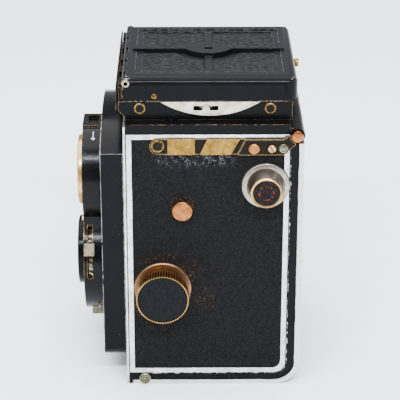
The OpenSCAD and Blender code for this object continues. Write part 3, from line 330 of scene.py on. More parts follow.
# Crinkle enamel on the shutter: tight wrinkles that scatter the light, brass at its front edge.
crinkle_enamel = enamel("crinkle_black_enamel", ("#050506", "#0c0c0d"), 0.2, 0.9, 1.0, 0.24, BRASS,
                        level=0.1)
# Enamel on the aluminium back: its flange is polished bare along the outside and chipped inside.
back_enamel = enamel("back_black_enamel", ("#070708", "#0e0e0f"), 0.3, 1.2, 0.14, 0.10, ALLOY,
                     bare_roughness=0.38, bald=rubbed_rim)
# Matt black paint inside a camera: it kills stray light.
flock_black = enamel("matt_black_inside", ("#0a0a0a", "#111110"), 0.8, 0.5, 0.35, 0.05, ALLOY,
                     level=0.2)

# Coarse leatherette of the sides and the back.
side_leather = leather("pebbled_leatherette", "#050505", "#0f0f0e", 0.8, 0.6,
                       specks=side_specks, scuffs=strap_scuffs)
# Lid leather, pulled along so that its grain lies in long creases.
lid_leather = leather("creased_leatherette", "#0e0e0f", "#262627", 1.2, 1.0, stretch=(1.5, 0.6, 1))
# Black vulcanite disc let into the focusing knob: smooth, dull, a little scratched.
vulcanite = leather("vulcanite_disc", "#07090a", "#0c0e0f", 0.8, 0.08)

# Polished aluminium trim, softened by years of rubbing.
polished_alloy = metal("polished_aluminium", "#e8e8e4", "#b3b2ac", 0.28, 0.5, 0.18, stain_mm=5.0,
                       dirt_and_shade="#2c2a26")


def tooth_gap_shade(tree, place, colour):
    """Painted shade between the knob's teeth, found by their distance from its axis."""
    flat = add(tree, "VectorMath", {0: place, 1: (0.0, 1.0, 1.0)}, operation="MULTIPLY")
    away = add(tree, "VectorMath", {0: flat.outputs[0], 1: (0, KNOB[0] * mm, KNOB[1] * mm)},
               operation="DISTANCE")
    gap = add(tree, "MapRange", {"Value": away.outputs["Value"], "From Min": 10.1 * mm,
                                 "From Max": 9.98 * mm})
    split = add(tree, "SeparateXYZ", {0: place})
    face = add(tree, "MapRange", {"Value": split.outputs["X"], "From Min": 47.97 * mm,
                                  "From Max": 47.9 * mm})
    both = add(tree, "Math", {0: gap.outputs[0], 1: face.outputs[0]}, operation="MULTIPLY")
    return add(tree, "Mix", {0: both.outputs[0], 6: colour, 7: linear("#20140a")},
               data_type="RGBA").outputs[2]


# Brass of the focusing knob's toothed rim: bright on the teeth, with painted shade between them.
tooth_brass = metal("toothed_brass", "#e2b46e", "#b08040", 0.3, 0.3, 0.2, stain_mm=4.0,
                    shade=tooth_gap_shade)
# Brass ring half covered with old black, as a rubbed screw edge has.
patchy_brass = metal("half_blackened_brass", "#9f7f3c", "#100c07", 0.38, 0.4, 0.2, stain_mm=1.1)
# Raw brass plate, flat-lapped and mottled.
bare_brass = metal("lapped_brass", "#967538", "#70531f", 0.42, 0.35, 0.35, stain_mm=2.0)
# Brass rim with the red of old lacquer.
rim_brass = metal("lacquered_brass", "#c9a267", "#946c3c", 0.3, 0.3, 0.2, stain_mm=4.0,
                  dirt_and_shade="#3a2412", dirt_and_shade_reach=0.4)
# Brown brass, darkened by skin oil.
brown_brass = metal("browned_brass", "#8d6848", "#5e4430", 0.36, 0.4, 0.2, stain_mm=4.0, dirt_and_shade="#2a1a10",
                    dirt_and_shade_reach=1.0)
# Faced copper: fine turning lines make a streak of light across it.
turned_copper = metal("faced_copper", "#a3683a", "#7a4824", 0.26, 0.25, 0.15, stain_mm=2.5, spin=0.7)
# Warm nickel plate, turned, with a satin sheen.
turned_nickel = metal("satin_nickel", "#aca597", "#7d7567", 0.32, 0.3, 0.15, stain_mm=5.0, spin=0.6,
                      dirt_and_shade="#5c4a33", dirt_and_shade_reach=1.2)
# Nickel on the levers, tarnished yellow-brown by fingers.
tarnished_nickel = metal("tarnished_nickel", "#a8a184", "#57513b", 0.36, 0.4, 0.25, stain_mm=1.5)
# Plain nickel on small fittings.
nickel = metal("nickel_plate", "#d6d1c4", "#aaa08c", 0.26, 0.4, 0.2, stain_mm=2.5, dirt_and_shade="#40382a")
# Aged nickel on the round plate of the hood, yellowed where the plating is thin.
aged_nickel = metal("yellowed_nickel", "#e2dccb", "#b8a888", 0.4, 0.4, 0.25, stain_mm=3.5)
# Ground steel of shafts, rollers and springs.
steel = metal("ground_steel", "#b9b9b6", "#8e8d89", 0.28, 0.2, 0.1, brushed=(1, 6, 6))


def ringed(centre):
    """Turned circles, drawn as rings of painted shade, round a centre on the side."""
    def shade(tree, place, colour):
        flat = add(tree, "VectorMath", {0: place, 1: (0.0, 1.0, 1.0)}, operation="MULTIPLY")
        away = add(tree, "VectorMath", {0: flat.outputs[0], 1: (0, centre[0] * mm, centre[1] * mm)},
                   operation="DISTANCE")
        fold = add(tree, "Math", {0: away.outputs["Value"], 1: 0.42 * mm}, operation="PINGPONG")
        dark = add(tree, "MapRange", {"Value": fold.outputs[0], "From Min": 0.25 * mm,
                                      "From Max": 0.15 * mm})
        return add(tree, "Mix", {0: dark.outputs[0], 6: colour, 7: linear("#12130d")},
                   data_type="RGBA").outputs[2]
    return shade


ROW_Z = STRAP_Z - 0.6    # the row of small heads on the strap bracket
RINGED_DISC = (26.3, ROW_Z)
# Nickel over brass with turned circles in painted shade: the ringed disc and the ends of the latch pin.
ringed_nickel = metal("ringed_nickel", "#a5a083", "#77715a", 0.4, 0.3, 0.15, shade=ringed(RINGED_DISC))
ringed_latch = metal("ringed_latch_nickel", "#a5a083", "#77715a", 0.4, 0.3, 0.15, shade=ringed(LATCH))
# Blued steel of the shutter leaves.
blued_steel = metal("blued_steel", "#3c3f45", "#26282c", 0.35, 0.3, 0.1)


def silvered_mirror():
    """Front-silvered mirror glass: clean and very smooth, faintly fogged."""
    material, tree, shader = blank("front_silvered_glass")
    place = add(tree, "TexCoord").outputs["Object"]
    fog = add(tree, "TexNoise", {"Vector": place, "Scale": 1000 / 8.0, "Detail": 4.0})
    tone = add(tree, "Mix", {0: fog.outputs["Fac"], 6: linear("#dfe3e4"), 7: linear("#c2c8c8")},
               data_type="RGBA")
    tree.links.new(tone.outputs[2], shader.inputs["Base Color"])
    rough = add(tree, "MapRange", {"Value": fog.outputs["Fac"], "To Min": 0.02, "To Max": 0.09})
    tree.links.new(rough.outputs[0], shader.inputs["Roughness"])
    shader.inputs["Metallic"].default_value = 1.0
    return material


def ground_screen():
    """Ground glass with ruled framing lines: a pale matt face."""
    material, tree, shader = blank("ruled_ground_glass")
    place = add(tree, "TexCoord").outputs["Object"]
    grit = add(tree, "TexNoise", {"Vector": place, "Scale": 1000 / 0.3, "Detail": 3.0})
    split = add(tree, "SeparateXYZ", {0: place})
    lines = []
    for socket, centre in (("X", 0.0), ("Y", -6.45)):
        away = add(tree, "Math", {0: split.outputs[socket], 1: centre * mm}, operation="SUBTRACT")
        fold = add(tree, "Math", {0: away.outputs[0], 1: 14 * mm}, operation="PINGPONG")
        lines.append(add(tree, "MapRange", {"Value": fold.outputs[0], "From Min": 0.22 * mm,
                                            "From Max": 0.12 * mm}).outputs[0])
    both = add(tree, "Math", {0: lines[0], 1: lines[1]}, operation="MAXIMUM")
    tone = add(tree, "Mix", {0: grit.outputs["Fac"], 6: linear("#9aa39d"), 7: linear("#b6bdb6")},
               data_type="RGBA")
    ruled = add(tree, "Mix", {0: both.outputs[0], 6: tone.outputs[2], 7: linear("#22211f")},
                data_type="RGBA")
    tree.links.new(ruled.outputs[2], shader.inputs["Base Color"])
    shader.inputs["Roughness"].default_value = 0.55
    bump = add(tree, "Bump", {"Height": grit.outputs["Fac"], "Strength": 0.3, "Distance": 0.02 * mm})
    tree.links.new(bump.outputs[0], shader.inputs["Normal"])
    return material


def optical_glass():
    """Polished crown glass: clear, with the faint blue bloom that age leaves on a lens."""
    material, tree, shader = blank("bloomed_lens_glass")
    place = add(tree, "TexCoord").outputs["Object"]
    haze = add(tree, "TexNoise", {"Vector": place, "Scale": 1000 / 5.0, "Detail": 3.0})
    tone = add(tree, "Mix", {0: haze.outputs["Fac"], 6: linear("#b4c6ea"), 7: linear("#d5def2")},
               data_type="RGBA")
    tree.links.new(tone.outputs[2], shader.inputs["Base Color"])
    rough = add(tree, "MapRange", {"Value": haze.outputs["Fac"], "To Min": 0.0, "To Max": 0.06})
    tree.links.new(rough.outputs[0], shader.inputs["Roughness"])
    shader.inputs["IOR"].default_value = 1.53
    shader.inputs["Transmission Weight"].default_value = 1.0
    shader.inputs["Coat Weight"].default_value = 0.15
    shader.inputs["Coat Roughness"].default_value = 0.02
    return material


mirror_glass = silvered_mirror()
screen_glass = ground_screen()
lens_glass = optical_glass()


# -------------------------------------------------------------- modelling tools

def alone(piece):
    """Selects one piece and nothing else."""
    bpy.ops.object.select_all(action="DESELECT")
    piece.select_set(True)
    bpy.context.view_layer.objects.active = piece


def dress(piece, *materials):
    """Gives a piece its finishes, the first one all over."""
    piece.data.materials.clear()
    for material in materials:
        piece.data.materials.append(material)


def soften(piece, width, angle=32, segments=2):
    """Breaks the sharp edges with a small radius, then shades the piece smooth."""
    alone(piece)
    if width:
        bevel = piece.modifiers.new("edges", "BEVEL")
        bevel.width = width * mm
        bevel.segments = segments
        bevel.limit_method = "ANGLE"
        bevel.angle_limit = radians(angle)
        bevel.use_clamp_overlap = True
        bpy.ops.object.modifier_apply(modifier="edges")
    bpy.ops.object.shade_smooth_by_angle(angle=radians(38))
    weights = piece.modifiers.new("normals", "WEIGHTED_NORMAL")
    weights.keep_sharp = True
    bpy.ops.object.modifier_apply(modifier="normals")


def settle(piece):
    """Leaves the object at the origin, unturned, with its place in its mesh, and its faces outwards."""
    alone(piece)
    bpy.ops.object.transform_apply(location=True, rotation=True, scale=True)
    bpy.ops.object.mode_set(mode="EDIT")
    bpy.ops.mesh.select_all(action="SELECT")
    bpy.ops.mesh.normals_make_consistent(inside=False)
    bpy.ops.object.mode_set(mode="OBJECT")


def finish_piece(piece, body, slot, material, *stands_for):
    """A new piece's finish, the body that it rides on, and the CAD nodes that it stands for."""
    if material is not None:
        dress(piece, material)
    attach(piece, body)
    if stands_for:
        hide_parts(*stands_for)
    return piece


BODY_OF = {node: body for body, nodes in frame["record"]["behaviour"]["bodies"].items()
           for node in nodes}


def machined(node, width, slot, material, segments=2):
    """The CAD shape with merged faces and broken edges, in place of the raw node."""
    source = frame["nodes"][node]
    piece = source.copy()
    piece.data = source.data.copy()
    piece.parent = None
    for key in list(piece.keys()):
        del piece[key]
    piece.name = node + "_finished"
    bpy.context.scene.collection.objects.link(piece)
    alone(piece)
    bpy.ops.object.mode_set(mode="EDIT")
    bpy.ops.mesh.select_all(action="SELECT")
    bpy.ops.mesh.remove_doubles(threshold=0.002 * mm)
    bpy.ops.mesh.dissolve_limited(angle_limit=radians(0.6))
    bpy.ops.object.mode_set(mode="OBJECT")
    soften(piece, width, segments=segments)
    return finish_piece(piece, BODY_OF[node], slot, material, node)


TURNS = {"x": ((0, pi / 2, 0), Vector((1, 0, 0))), "y": ((pi / 2, 0, 0), Vector((0, 1, 0))),
         "z": ((0, 0, 0), Vector((0, 0, 1)))}


def turned(name, axis, centre, profile, sides=96, closed=False, back=False):
    """A lathe piece: a ring drawn out along its axis, step by step, to each (distance, radius)."""
    turn, along = TURNS[axis]
    if back:
        along = -along
    middle = Vector(centre) * mm
    start, radius = profile[0]
    bpy.ops.object.select_all(action="DESELECT")
    bpy.ops.mesh.primitive_circle_add(vertices=sides, radius=radius * mm, fill_type="NOTHING",
                                      location=middle + along * start * mm, rotation=turn)
    piece = bpy.context.object
    piece.name = name
    bpy.ops.object.mode_set(mode="EDIT")
    bpy.ops.mesh.select_all(action="SELECT")
    for (a, r), (b, q) in zip(profile, profile[1:]):
        bpy.ops.mesh.extrude_region_move(TRANSFORM_OT_translate={"value": along * (b - a) * mm})
        if abs(q - r) > 1e-6:
            bpy.ops.transform.resize(value=(q / r,) * 3, center_override=middle + along * b * mm)
    bpy.ops.mesh.select_all(action="SELECT")
    if closed:
        bpy.ops.mesh.remove_doubles(threshold=0.002 * mm)
    else:
        bpy.ops.mesh.fill_holes(sides=0)
    bpy.ops.object.mode_set(mode="OBJECT")
    settle(piece)
    return piece


def pick(piece, test):
    """Selects the vertices whose place, in millimetres, passes the test."""
    for polygon in piece.data.polygons:
        polygon.select = False
    for edge in piece.data.edges:
        edge.select = False
    for vertex in piece.data.vertices:
        vertex.select = bool(test(vertex.co / mm))


def knurl(piece, centre, count, depth, inside, outside, side_range):
    """Cuts teeth round an X-axis piece: every other column of vertices is drawn in."""
    y, z = centre

    def groove(p):
        r = Vector((p.y - y, p.z - z)).length
        step = (atan2(p.z - z, p.y - y) / (2 * pi) * count) % 1.0
        return inside < r < outside and side_range[0] < abs(p.x) < side_range[1] and 0.25 < step < 0.75

    alone(piece)
    pick(piece, groove)
    bpy.ops.object.mode_set(mode="EDIT")
    ratio = 1 - depth / outside
    bpy.ops.transform.resize(value=(1, ratio, ratio), center_override=(0, y * mm, z * mm))
    bpy.ops.object.mode_set(mode="OBJECT")


def mirrored(piece, name):
    """The same piece on the other side of the camera."""
    alone(piece)
    bpy.ops.object.duplicate()
    other = bpy.context.object
    other.name = name
    other.scale.x = -1
    settle(other)
    return other


def block(name, low, high):
    """A cube primitive stretched between two corners, in millimetres."""
    a, b = Vector(low) * mm, Vector(high) * mm
    bpy.ops.object.select_all(action="DESELECT")
    bpy.ops.mesh.primitive_cube_add(size=1, location=(a + b) / 2, scale=b - a)
    piece = bpy.context.object
    piece.name = name
    bpy.ops.object.transform_apply(location=True, rotation=True, scale=True)
    return piece


# ------------------------------------------------------- CAD shapes, with finish

FINISHED = (
    ("body_shell", 0.5, "black_enamel", black_enamel),
    ("front_frame", 0.18, "polished_alloy", polished_alloy),
    ("side_trims", 0.3, "polished_alloy", polished_alloy),
    ("film_gate", 0.25, "blackened_metal", flock_black),
    ("guide_roller_upper", 0.4, "film_roller_steel", steel),
    ("guide_roller_lower", 0.4, "film_roller_steel", steel),
    ("take_up_spool", 0.25, "black_enamel", black_enamel),
    ("screen_frame", 0.2, "blackened_metal", flock_black),
    ("strap_brackets", 0.22, "black_enamel", strap_enamel),
    ("strap_bars", 0.18, "worn_brass", bare_brass),
    ("crank_plate", 0.3, "nickel", turned_nickel), ("crank_arm", 0.5, "black_enamel", black_enamel),
    ("crank_grip_pin", 0.2, "nickel", nickel), ("front_standard", 0.9, "black_enamel", standard_enamel),
    ("shutter_housing", 0.5, "crinkle_enamel", crinkle_enamel),
    ("speed_lever", 0.2, "nickel", tarnished_nickel),
    ("aperture_lever", 0.2, "nickel", tarnished_nickel),
    ("release_lever", 0.25, "worn_brass", tarnished_nickel),
    ("housing_screws", 0.12, "nickel", nickel), ("hood_base", 0.3, "black_enamel", hood_enamel),
    ("hood_side_plates", 0.12, "nickel", aged_nickel), ("hood_slider", 0.12, "nickel", aged_nickel),
    ("hood_front_plate", 0.25, "black_enamel", black_enamel),
    ("hood_lid", 0.2, "satin_enamel", satin_enamel),
    ("hood_pins", 0.15, "nickel", nickel), ("lid_catch", 0.25, "worn_brass", patchy_brass),
    ("flap_left", 0.12, "satin_enamel", satin_enamel),
    ("flap_right", 0.12, "satin_enamel", satin_enamel),
    ("flap_rear", 0.12, "satin_enamel", satin_enamel),
    ("back_cover", 0.45, "black_enamel", back_enamel),
    ("pressure_plate", 0.2, "satin_enamel", satin_enamel), ("latch_bail", 0.4, "nickel", nickel),
    ("aperture_blades", 0.0, "spring_steel", blued_steel),
    ("shutter_blades", 0.0, "spring_steel", blued_steel),
    ("focus_shaft", 0.2, "film_roller_steel", steel), ("pressure_spring", 0.1, "spring_steel", steel),
)
for node, width, slot, material in FINISHED:
    machined(node, width, slot, material)

for node, material in (("side_leathers", side_leather), ("lid_leather", lid_leather),
                       ("back_leather", side_leather), ("reflex_mirror", mirror_glass),
                       ("focusing_screen", screen_glass)):
    for place in frame["nodes"][node].material_slots:
        place.material = material


# ------------------------------------------------------------------ side fittings

def on_side(name, y, z, profile, body, slot, material, *stands_for, sides=64, width=0.0, both=False):
    """A turned fitting that stands on the side; a second one is made on the far side if wanted."""
    piece = turned(name, "x", (0, y, z), profile, sides=sides)
    soften(piece, width)
    finish_piece(piece, body, slot, material, *stands_for)
    if both:
        other = mirrored(piece, name + "_far")
        finish_piece(other, body, slot, material)
    return piece


# Turned push button: stem, then a head with a soft edge and a shallow dished face.
on_side("copper_button", *BUTTON, [(34.5, 2.6), (39.3, 2.6), (39.3, 3.7), (39.6, 4.0), (40.2, 4.0),
                                   (40.55, 3.75), (40.65, 3.3), (40.6, 1.5)],
        "button", "copper_turned", turned_copper, "side_button", sides=72, width=0.08)

# Focusing knob: browned base disc, brass drum, and a toothed rim round a black disc.
base = turned("knob_base_disc", "x", (0, *KNOB), [(37.5, 11.2), (38.1, 11.2), (38.5, 10.8), (38.5, 2.5),
                                                 (37.5, 2.5), (37.5, 11.2)], closed=True, sides=96)
soften(base, 0.08)
finish_piece(base, "body", "worn_brass", brown_brass, "focus_knob_base")
TEETH = 60
drum = turned("knob_drum", "x", (0, *KNOB), [(38.9, 9.0), (39.2, 9.2), (42.3, 9.2), (42.5, 8.9)],
              sides=2 * TEETH)
knurl(drum, KNOB, TEETH, 0.25, 9.1, 9.3, (39, 42.4))
soften(drum, 0)
finish_piece(drum, "focus_drive", "worn_brass", brown_brass)
rim = turned("knob_toothed_rim", "x", (0, *KNOB),
             [(42.4, 9.4), (42.6, 10.2), (47.6, 10.3), (47.95, 10.2), (48.0, 9.76), (47.85, 9.68),
              (47.4, 9.65), (47.4, 8.0), (42.4, 8.0), (42.4, 9.4)], sides=2 * TEETH, closed=True)
knurl(rim, KNOB, TEETH, 0.5, 10.0, 10.35, (42.5, 47.96))
soften(rim, 0)
finish_piece(rim, "focus_drive", "worn_brass", tooth_brass, "focus_knob")
disc = turned("knob_vulcanite", "x", (0, *KNOB), [(47.3, 9.6), (47.8, 9.6), (47.9, 9.35)], sides=96)
soften(disc, 0.05)
finish_piece(disc, "focus_drive", "leather_black", vulcanite, "focus_knob_insert")

# Spool knob: dished nickel plate, nickel cone, brass rim and a black disc.
plate = turned("spool_plate", "x", (0, *SPOOL), [(37.5, 9.2), (38.3, 9.2), (38.75, 9.05), (38.9, 8.7),
                                                (39.3, 7.2), (39.3, 2.2), (37.5, 2.2), (37.5, 9.2)],
               closed=True)
soften(plate, 0.06)
finish_piece(plate, "body", "nickel", turned_nickel, "spool_knob_plate")
cone = turned("spool_cone", "x", (0, *SPOOL), [(27.9, 1.8), (39.6, 1.8), (39.6, 7.4), (40.2, 7.0),
                                              (44.4, 5.6), (44.7, 5.4)])
soften(cone, 0.1)
finish_piece(cone, "spool_release", "nickel", turned_nickel)
ring = turned("spool_rim", "x", (0, *SPOOL), [(44.6, 5.5), (44.75, 5.9), (45.9, 6.0), (46.1, 5.75),
                                             (46.0, 5.3), (45.6, 5.1), (45.4, 4.0), (44.6, 4.0),
                                             (44.6, 5.5)],
              closed=True)
soften(ring, 0)
finish_piece(ring, "spool_release", "worn_brass", rim_brass, "spool_knob")


def crimson_ring(tree, place, colour):
    """What is left of a red ring painted on the disc."""
    away = add(tree, "VectorMath", {0: place, 1: (45.8 * mm, SPOOL[0] * mm, SPOOL[1] * mm)},
               operation="DISTANCE")
    off = add(tree, "Math", {0: away.outputs["Value"], 1: 2.75 * mm}, operation="SUBTRACT")
    size = add(tree, "Math", {0: off.outputs[0]}, operation="ABSOLUTE")
    band = add(tree, "MapRange", {"Value": size.outputs[0], "From Min": 0.36 * mm,
                                  "From Max": 0.2 * mm})
    flake = add(tree, "TexNoise", {"Vector": place, "Scale": 1000 / 1.1, "Detail": 3.0})
    left = add(tree, "MapRange", {"Value": flake.outputs["Fac"], "From Min": 0.5, "From Max": 0.56})
    mask = add(tree, "Math", {0: band.outputs[0], 1: left.outputs[0]}, operation="MULTIPLY")
    return add(tree, "Mix", {0: mask.outputs[0], 6: colour, 7: linear("#5c2015")},
               data_type="RGBA").outputs[2]


# Black disc of the spool knob, flaking, with the rest of a red ring.
flaked_disc = leather("flaked_black_disc", "#0b0908", "#1c1512", 0.9, 0.8, specks=crimson_ring)
face = turned("spool_disc", "x", (0, *SPOOL), [(45.3, 5.05), (45.75, 5.05), (45.85, 4.8)])
soften(face, 0.05)
finish_piece(face, "spool_release", "leather_black", flaked_disc, "spool_knob_insert")

# Strap fittings: black screw, lapped brass button, slotted screw, ringed disc, and the hood screws.
STRAP_SCREW = (-21.2, STRAP_Z + 0.4)
SLOTTED_SCREW = (21.9, ROW_Z)
HOOD_SCREW_Z = 116.2
# Painted shadow: near-black enamel laid where slots, a hole, a hollow pin end and the feet of knobs lie in
# shade.
painted_slot_shadow = enamel("slot_shadow", ("#060606", "#0c0b0a"), 0.7, 0.6, 0.2, 0.0, BRASS, level=0.2)
on_side("strap_screw", *STRAP_SCREW, [(38.3, 2.0), (38.85, 2.0), (39.05, 1.75)], "body",
        "black_enamel", strap_enamel, "brass_screws", sides=48, width=0.05, both=True)
on_side("strap_button", 15.2, ROW_Z, [(39.1, 2.1), (39.55, 2.1), (39.7, 1.9)], "body",
        "copper_turned", turned_copper, sides=48, width=0.05, both=True)
on_side("slotted_screw", *SLOTTED_SCREW, [(39.1, 1.55), (39.6, 1.55), (39.8, 1.3)], "body",
        "worn_brass", rim_brass, sides=48, width=0.05, both=True)
on_side("ringed_disc", *RINGED_DISC, [(39.1, 1.95), (39.7, 1.95), (39.85, 1.8), (39.85, 1.55),
                                            (39.6, 1.5), (39.6, 1.25), (39.8, 1.2), (39.8, 0.85),
                                            (39.6, 0.8), (39.6, 0.5), (39.8, 0.45)],
        "body", "nickel", ringed_nickel, sides=48, both=True)
for tag, y in (("front", -27.9), ("rear", 21.4)):
    on_side("hood_screw_" + tag, y, HOOD_SCREW_Z, [(32.0, 1.8), (32.33, 1.8), (32.4, 1.65)], "body",
            "black_enamel", strap_enamel, sides=48, width=0.04, both=True)
    on_side("hood_screw_ring_" + tag, y, HOOD_SCREW_Z,
            [(31.9, 2.15), (32.2, 2.15), (32.28, 2.05), (32.28, 1.75)],
            "body", "worn_brass", patchy_brass, sides=48, both=True)
on_side("strap_screw_ring", *STRAP_SCREW, [(38.3, 2.5), (38.75, 2.5), (38.85, 2.35), (38.85, 2.0)],
        "body", "worn_brass", patchy_brass, sides=48, both=True)
# Slots of the two screws: thin near-black plates, painted shadow standing for the cut slots.
for tag, y, z, x, r, tilt in (("slotted", *SLOTTED_SCREW, 39.8, 1.5, 65),
                              ("strap", *STRAP_SCREW, 39.05, 1.9, 115)):
    cut = block("screw_slot_" + tag, (x - 0.06, y - r, z - 0.2), (x + 0.02, y + r, z + 0.2))
    alone(cut)
    bpy.ops.object.mode_set(mode="EDIT")
    bpy.ops.mesh.select_all(action="SELECT")
    bpy.ops.transform.rotate(value=radians(tilt), orient_axis="X",
                             center_override=(x * mm, y * mm, z * mm))
    bpy.ops.object.mode_set(mode="OBJECT")
    settle(cut)
    soften(cut, 0.02)
    finish_piece(cut, "body", "black_enamel", painted_slot_shadow)
    finish_piece(mirrored(cut, "screw_slot_" + tag + "_far"), "body", "black_enamel", painted_slot_shadow)

# Rings of painted shadow round the feet of the two knobs, and a disc of painted shadow for the small hole
# in the focusing knob's base disc.
on_side("spool_shadow_ring", *SPOOL, [(37.3, 9.5), (37.55, 9.5), (37.62, 9.35)], "body", "black_enamel",
        painted_slot_shadow, sides=96)
on_side("knob_shadow_ring", *KNOB, [(37.3, 11.45), (37.55, 11.45), (37.62, 11.3)], "body", "black_enamel",
        painted_slot_shadow, sides=96)
on_side("knob_base_hole", KNOB[0], KNOB[1] + 9.9, [(38.2, 0.42), (38.52, 0.42), (38.55, 0.36)], "body",
        "black_enamel", painted_slot_shadow, sides=24)

# Hinge buttons of the back, and the ringed ends of its latch.
on_side("hinge_button", *HINGE, [(30.0, 1.0), (37.0, 1.0), (37.0, 2.15), (37.2, 2.3), (38.5, 2.3),
                                (38.85, 2.1), (39.0, 1.7), (38.95, 0.8)], "body", "copper_turned",
        turned_copper, "back_hinge_pin", sides=64, both=True)
on_side("latch_end", *LATCH, [(33.0, 1.0), (37.0, 1.0), (37.0, 2.25), (37.85, 2.25), (38.0, 2.1),
                             (38.0, 1.8), (37.75, 1.75), (37.75, 1.4), (37.95, 1.35), (37.95, 1.0),
                             (37.75, 0.95), (37.75, 0.6), (37.95, 0.55)], "back", "nickel",
                             ringed_latch,
        "latch_pin", sides=64, both=True)

# Folding grip of the winding crank, ribbed along its length.
grip = turned("crank_grip_ribbed", "y", (-42.5, 0, SPOOL[1]),
              [(-2.2, 1.2), (-1.6, 1.8)] + [(-1.3 + 0.9 * i + d, r) for i in range(12)
                                            for d, r in ((0.0, 1.9), (0.35, 1.9), (0.45, 1.7),
                                                         (0.8, 1.7))]
              + [(9.9, 1.8), (10.6, 1.2)], sides=48)
soften(grip, 0)
finish_piece(grip, "grip", "leather_black", vulcanite, "crank_grip")


# ------------------------------------------------------------------------ lenses

for tag, z, front, ring_finish, ring_slot in (
        ("viewing", VIEW_Z, -53.6, rim_brass, "worn_brass"),
        ("taking", TAKE_Z, -54.4, black_enamel, "black_enamel")):
    ring = turned(tag + "_ring_turned", "y", (0, 0, z),
                  [(-51.4, 13.75), (-51.6, 14.0), (front + 0.5, 14.0), (front + 0.15, 13.75),
                   (front, 13.4),
                   (front + 0.1, 12.95), (front + 0.5, 12.7), (-51.4, 12.7), (-51.4, 13.75)],
                  closed=True, sides=128)
    soften(ring, 0)
    finish_piece(ring, "standard", ring_slot, ring_finish, tag + "_ring")
    steps = [(-35.2, 12.55), (-52.9, 12.55), (-53.1, 12.4), (-53.1, 12.0), (-52.9, 11.8)]
    for i in range(5):
        steps += [(-52.8 + 0.48 * i, 11.8 - 0.08 * i), (-52.6 + 0.48 * i, 11.6 - 0.08 * i)]
    steps += [(-50.4, 11.28), (-50.4, 11.2), (-34.6, 11.2), (-34.6, 12.55), (-35.2, 12.55)]
    barrel = turned(tag + "_barrel_turned", "y", (0, 0, z), steps, closed=True, sides=128)
    soften(barrel, 0)
    finish_piece(barrel, "standard", "blackened_metal", flock_black, tag + "_barrel")
    glass = turned(tag + "_glass", "y", (0, 0, z),
                   [(-48.1, 11.1), (-50.2, 11.1), (-50.75, 10.6)] +
                   [(-51.75 + 0.0089 * r * r, r) for r in (9.6, 8.4, 7.0, 5.4, 3.6, 1.8, 0.6)],
                   sides=96)
    soften(glass, 0)
    finish_piece(glass, "standard", "lens_glass", lens_glass, "lens_glasses")
    inner = turned(tag + "_retainer", "y", (0, 0, z),
                   [(-48.0, 11.15), (-48.6, 11.15), (-48.6, 9.6), (-48.2, 9.2), (-47.4, 9.2),
                    (-47.4, 11.15),
                    (-48.0, 11.15)], closed=True)
    soften(inner, 0.05)
    finish_piece(inner, "standard", "blackened_metal", black_enamel)

# White arrow let into the upper side of the shutter housing: a shaft and two barbs.
chalk = enamel("white_inlay", ("#d8d5cc", "#f0eee8"), 0.55, 0.6, 0.2, 0.0, ALLOY)
ARROW_Y = -47.0
TIP = 2.1                # the tip's distance past the middle of the arrow
HOUSING_R = 21.3
HOUSING_TOP = VIEW_Z + HOUSING_R
for tag, swing, length in (("shaft", 0, 4.2), ("barb_left", 38, 1.2), ("barb_right", -38, 1.2)):
    stroke = block("arrow_" + tag, (TIP - length, ARROW_Y - 0.12, HOUSING_TOP - 0.3),
                   (TIP, ARROW_Y + 0.12, HOUSING_TOP + 0.05))
    alone(stroke)
    bpy.ops.object.mode_set(mode="EDIT")
    bpy.ops.mesh.select_all(action="SELECT")
    bpy.ops.transform.rotate(value=radians(swing), orient_axis="Z",
                             center_override=(TIP * mm, ARROW_Y * mm, HOUSING_TOP * mm))
    bpy.ops.transform.rotate(value=radians(-30), orient_axis="Y", center_override=(0, 0, VIEW_Z * mm))
    bpy.ops.object.mode_set(mode="OBJECT")
    settle(stroke)
    soften(stroke, 0.03)
    finish_piece(stroke, "standard", "polished_alloy", chalk)


# --------------------------------------------------------------------------- hood

# Ribs of the lid, and the pointed boss where they cross, with a wide soft edge.
machined("lid_cross", 0.45, "satin_enamel", satin_enamel, segments=4)

# Worn ends of the lid's hinge pin, each with a disc of painted shadow in the middle, and the rivet of the
# magnifier's arm.
PIN_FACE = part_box("hood_pins")[1].x / mm
LID_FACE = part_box("hood_lid")[1].x / mm
LID_PIN = (-33.1, 126.4)
LID_RIVET = (-22.4, 121.2)
on_side("lid_pin_ring", *LID_PIN, [(PIN_FACE - 0.6, 1.5), (PIN_FACE - 0.2, 1.5), (PIN_FACE - 0.1, 1.4),
                                       (PIN_FACE - 0.1, 1.1)],
        "body", "nickel", tarnished_nickel, sides=48, both=True)
on_side("lid_pin_centre", *LID_PIN, [(PIN_FACE - 0.3, 1.05), (PIN_FACE - 0.02, 1.05), (PIN_FACE, 0.85)],
        "body", "black_enamel", painted_slot_shadow, sides=32, both=True)
on_side("lid_rivet", *LID_RIVET, [(LID_FACE - 0.3, 1.0), (LID_FACE + 0.1, 1.0), (LID_FACE + 0.25, 0.7)],
        "lid", "worn_brass", patchy_brass, sides=32, both=True)

# Magnifier: its frame is enamelled, and the disc in it is glass.
loupe = machined("magnifier", 0.2, "satin_enamel", None)
dress(loupe, satin_enamel, lens_glass)
low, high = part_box("magnifier")
centre = Vector(((low.x + high.x) / 2, high.y - 16 * mm))
for polygon in loupe.data.polygons:
    away = (Vector((polygon.center.x, polygon.center.y)) - centre).length
    polygon.material_index = 1 if away < 13.9 * mm and abs(polygon.normal.z) > 0.5 else 0

# Tripod bush with its cut thread.
bush = turned("tripod_bush_threaded", "z", (0, 0, 0),
              [(0, 6.7), (0.3, 7.0), (4.7, 7.0), (5.0, 6.7), (5.0, 4.2)] +
              [(4.9 - 0.4 * i, 3.97 if i % 2 else 4.35) for i in range(12)] + [(0, 4.6), (0, 6.7)],
              closed=True)
soften(bush, 0)
finish_piece(bush, "back", "nickel", nickel, "tripod_bush")


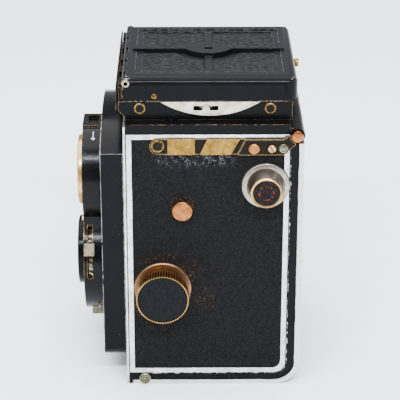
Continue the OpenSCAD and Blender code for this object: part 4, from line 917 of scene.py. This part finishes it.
# ---------------------------------------------------------------- stage and light

def matt_card():
    """Pale seamless card: matt, very slightly uneven."""
    material, tree, shader = blank("pale_card")
    place = add(tree, "TexCoord").outputs["Object"]
    cloud = add(tree, "TexNoise", {"Vector": place, "Scale": 3.0, "Detail": 3.0})
    tone = add(tree, "Mix", {0: cloud.outputs["Fac"], 6: linear("#f4f6fa"), 7: linear("#eef1f6")},
               data_type="RGBA")
    tree.links.new(tone.outputs[2], shader.inputs["Base Color"])
    shader.inputs["Roughness"].default_value = 0.9
    shader.inputs["Specular IOR Level"].default_value = 0.1
    return material


bpy.ops.object.select_all(action="DESELECT")
bpy.ops.mesh.primitive_plane_add(size=8, location=(0, 0, cad_box[0].z))
floor = bpy.context.object
floor.name = "floor"
dress(floor, matt_card())

world = bpy.data.worlds.new("room")
world.use_nodes = True
bpy.context.scene.world = world
world.node_tree.nodes["Background"].inputs["Color"].default_value = linear("#dfe4ec")
world.node_tree.nodes["Background"].inputs["Strength"].default_value = 0.75


def softbox(name, place, aim, width, height, power, colour="#ffffff"):
    """A rectangular soft light, aimed at a point."""
    lamp = bpy.data.lights.new(name, "AREA")
    lamp.shape = "RECTANGLE"
    lamp.size, lamp.size_y = width, height
    lamp.energy = power
    lamp.color = linear(colour)[:3]
    holder = bpy.data.objects.new(name, lamp)
    bpy.context.scene.collection.objects.link(holder)
    holder.location = place
    holder.rotation_euler = (Vector(aim) - Vector(place)).to_track_quat("-Z", "Y").to_euler()
    return holder


softbox("ceiling", (-0.15, 0.0, 1.3), (0, 0, 0.05), 1.6, 1.6, 58)
softbox("window", (0.9, -0.9, 0.9), (0, 0, 0.06), 0.7, 0.7, 8)
softbox("strip", (0.72, 0.0, 0.8), (0, 0, 0.1), 1.0, 0.03, 30, "#eef4ff")

eye = Vector((0.6289, -0.0094, 0.3408))
look = Vector((0.0, -0.00495, 0.06437))
view = bpy.data.cameras.new("camera")
view.sensor_width = 36
view.lens = 152.1
camera = bpy.data.objects.new("camera", view)
bpy.context.scene.collection.objects.link(camera)
camera.location = eye
camera.rotation_euler = (look - eye).to_track_quat("-Z", "Y").to_euler()
bpy.context.scene.camera = camera
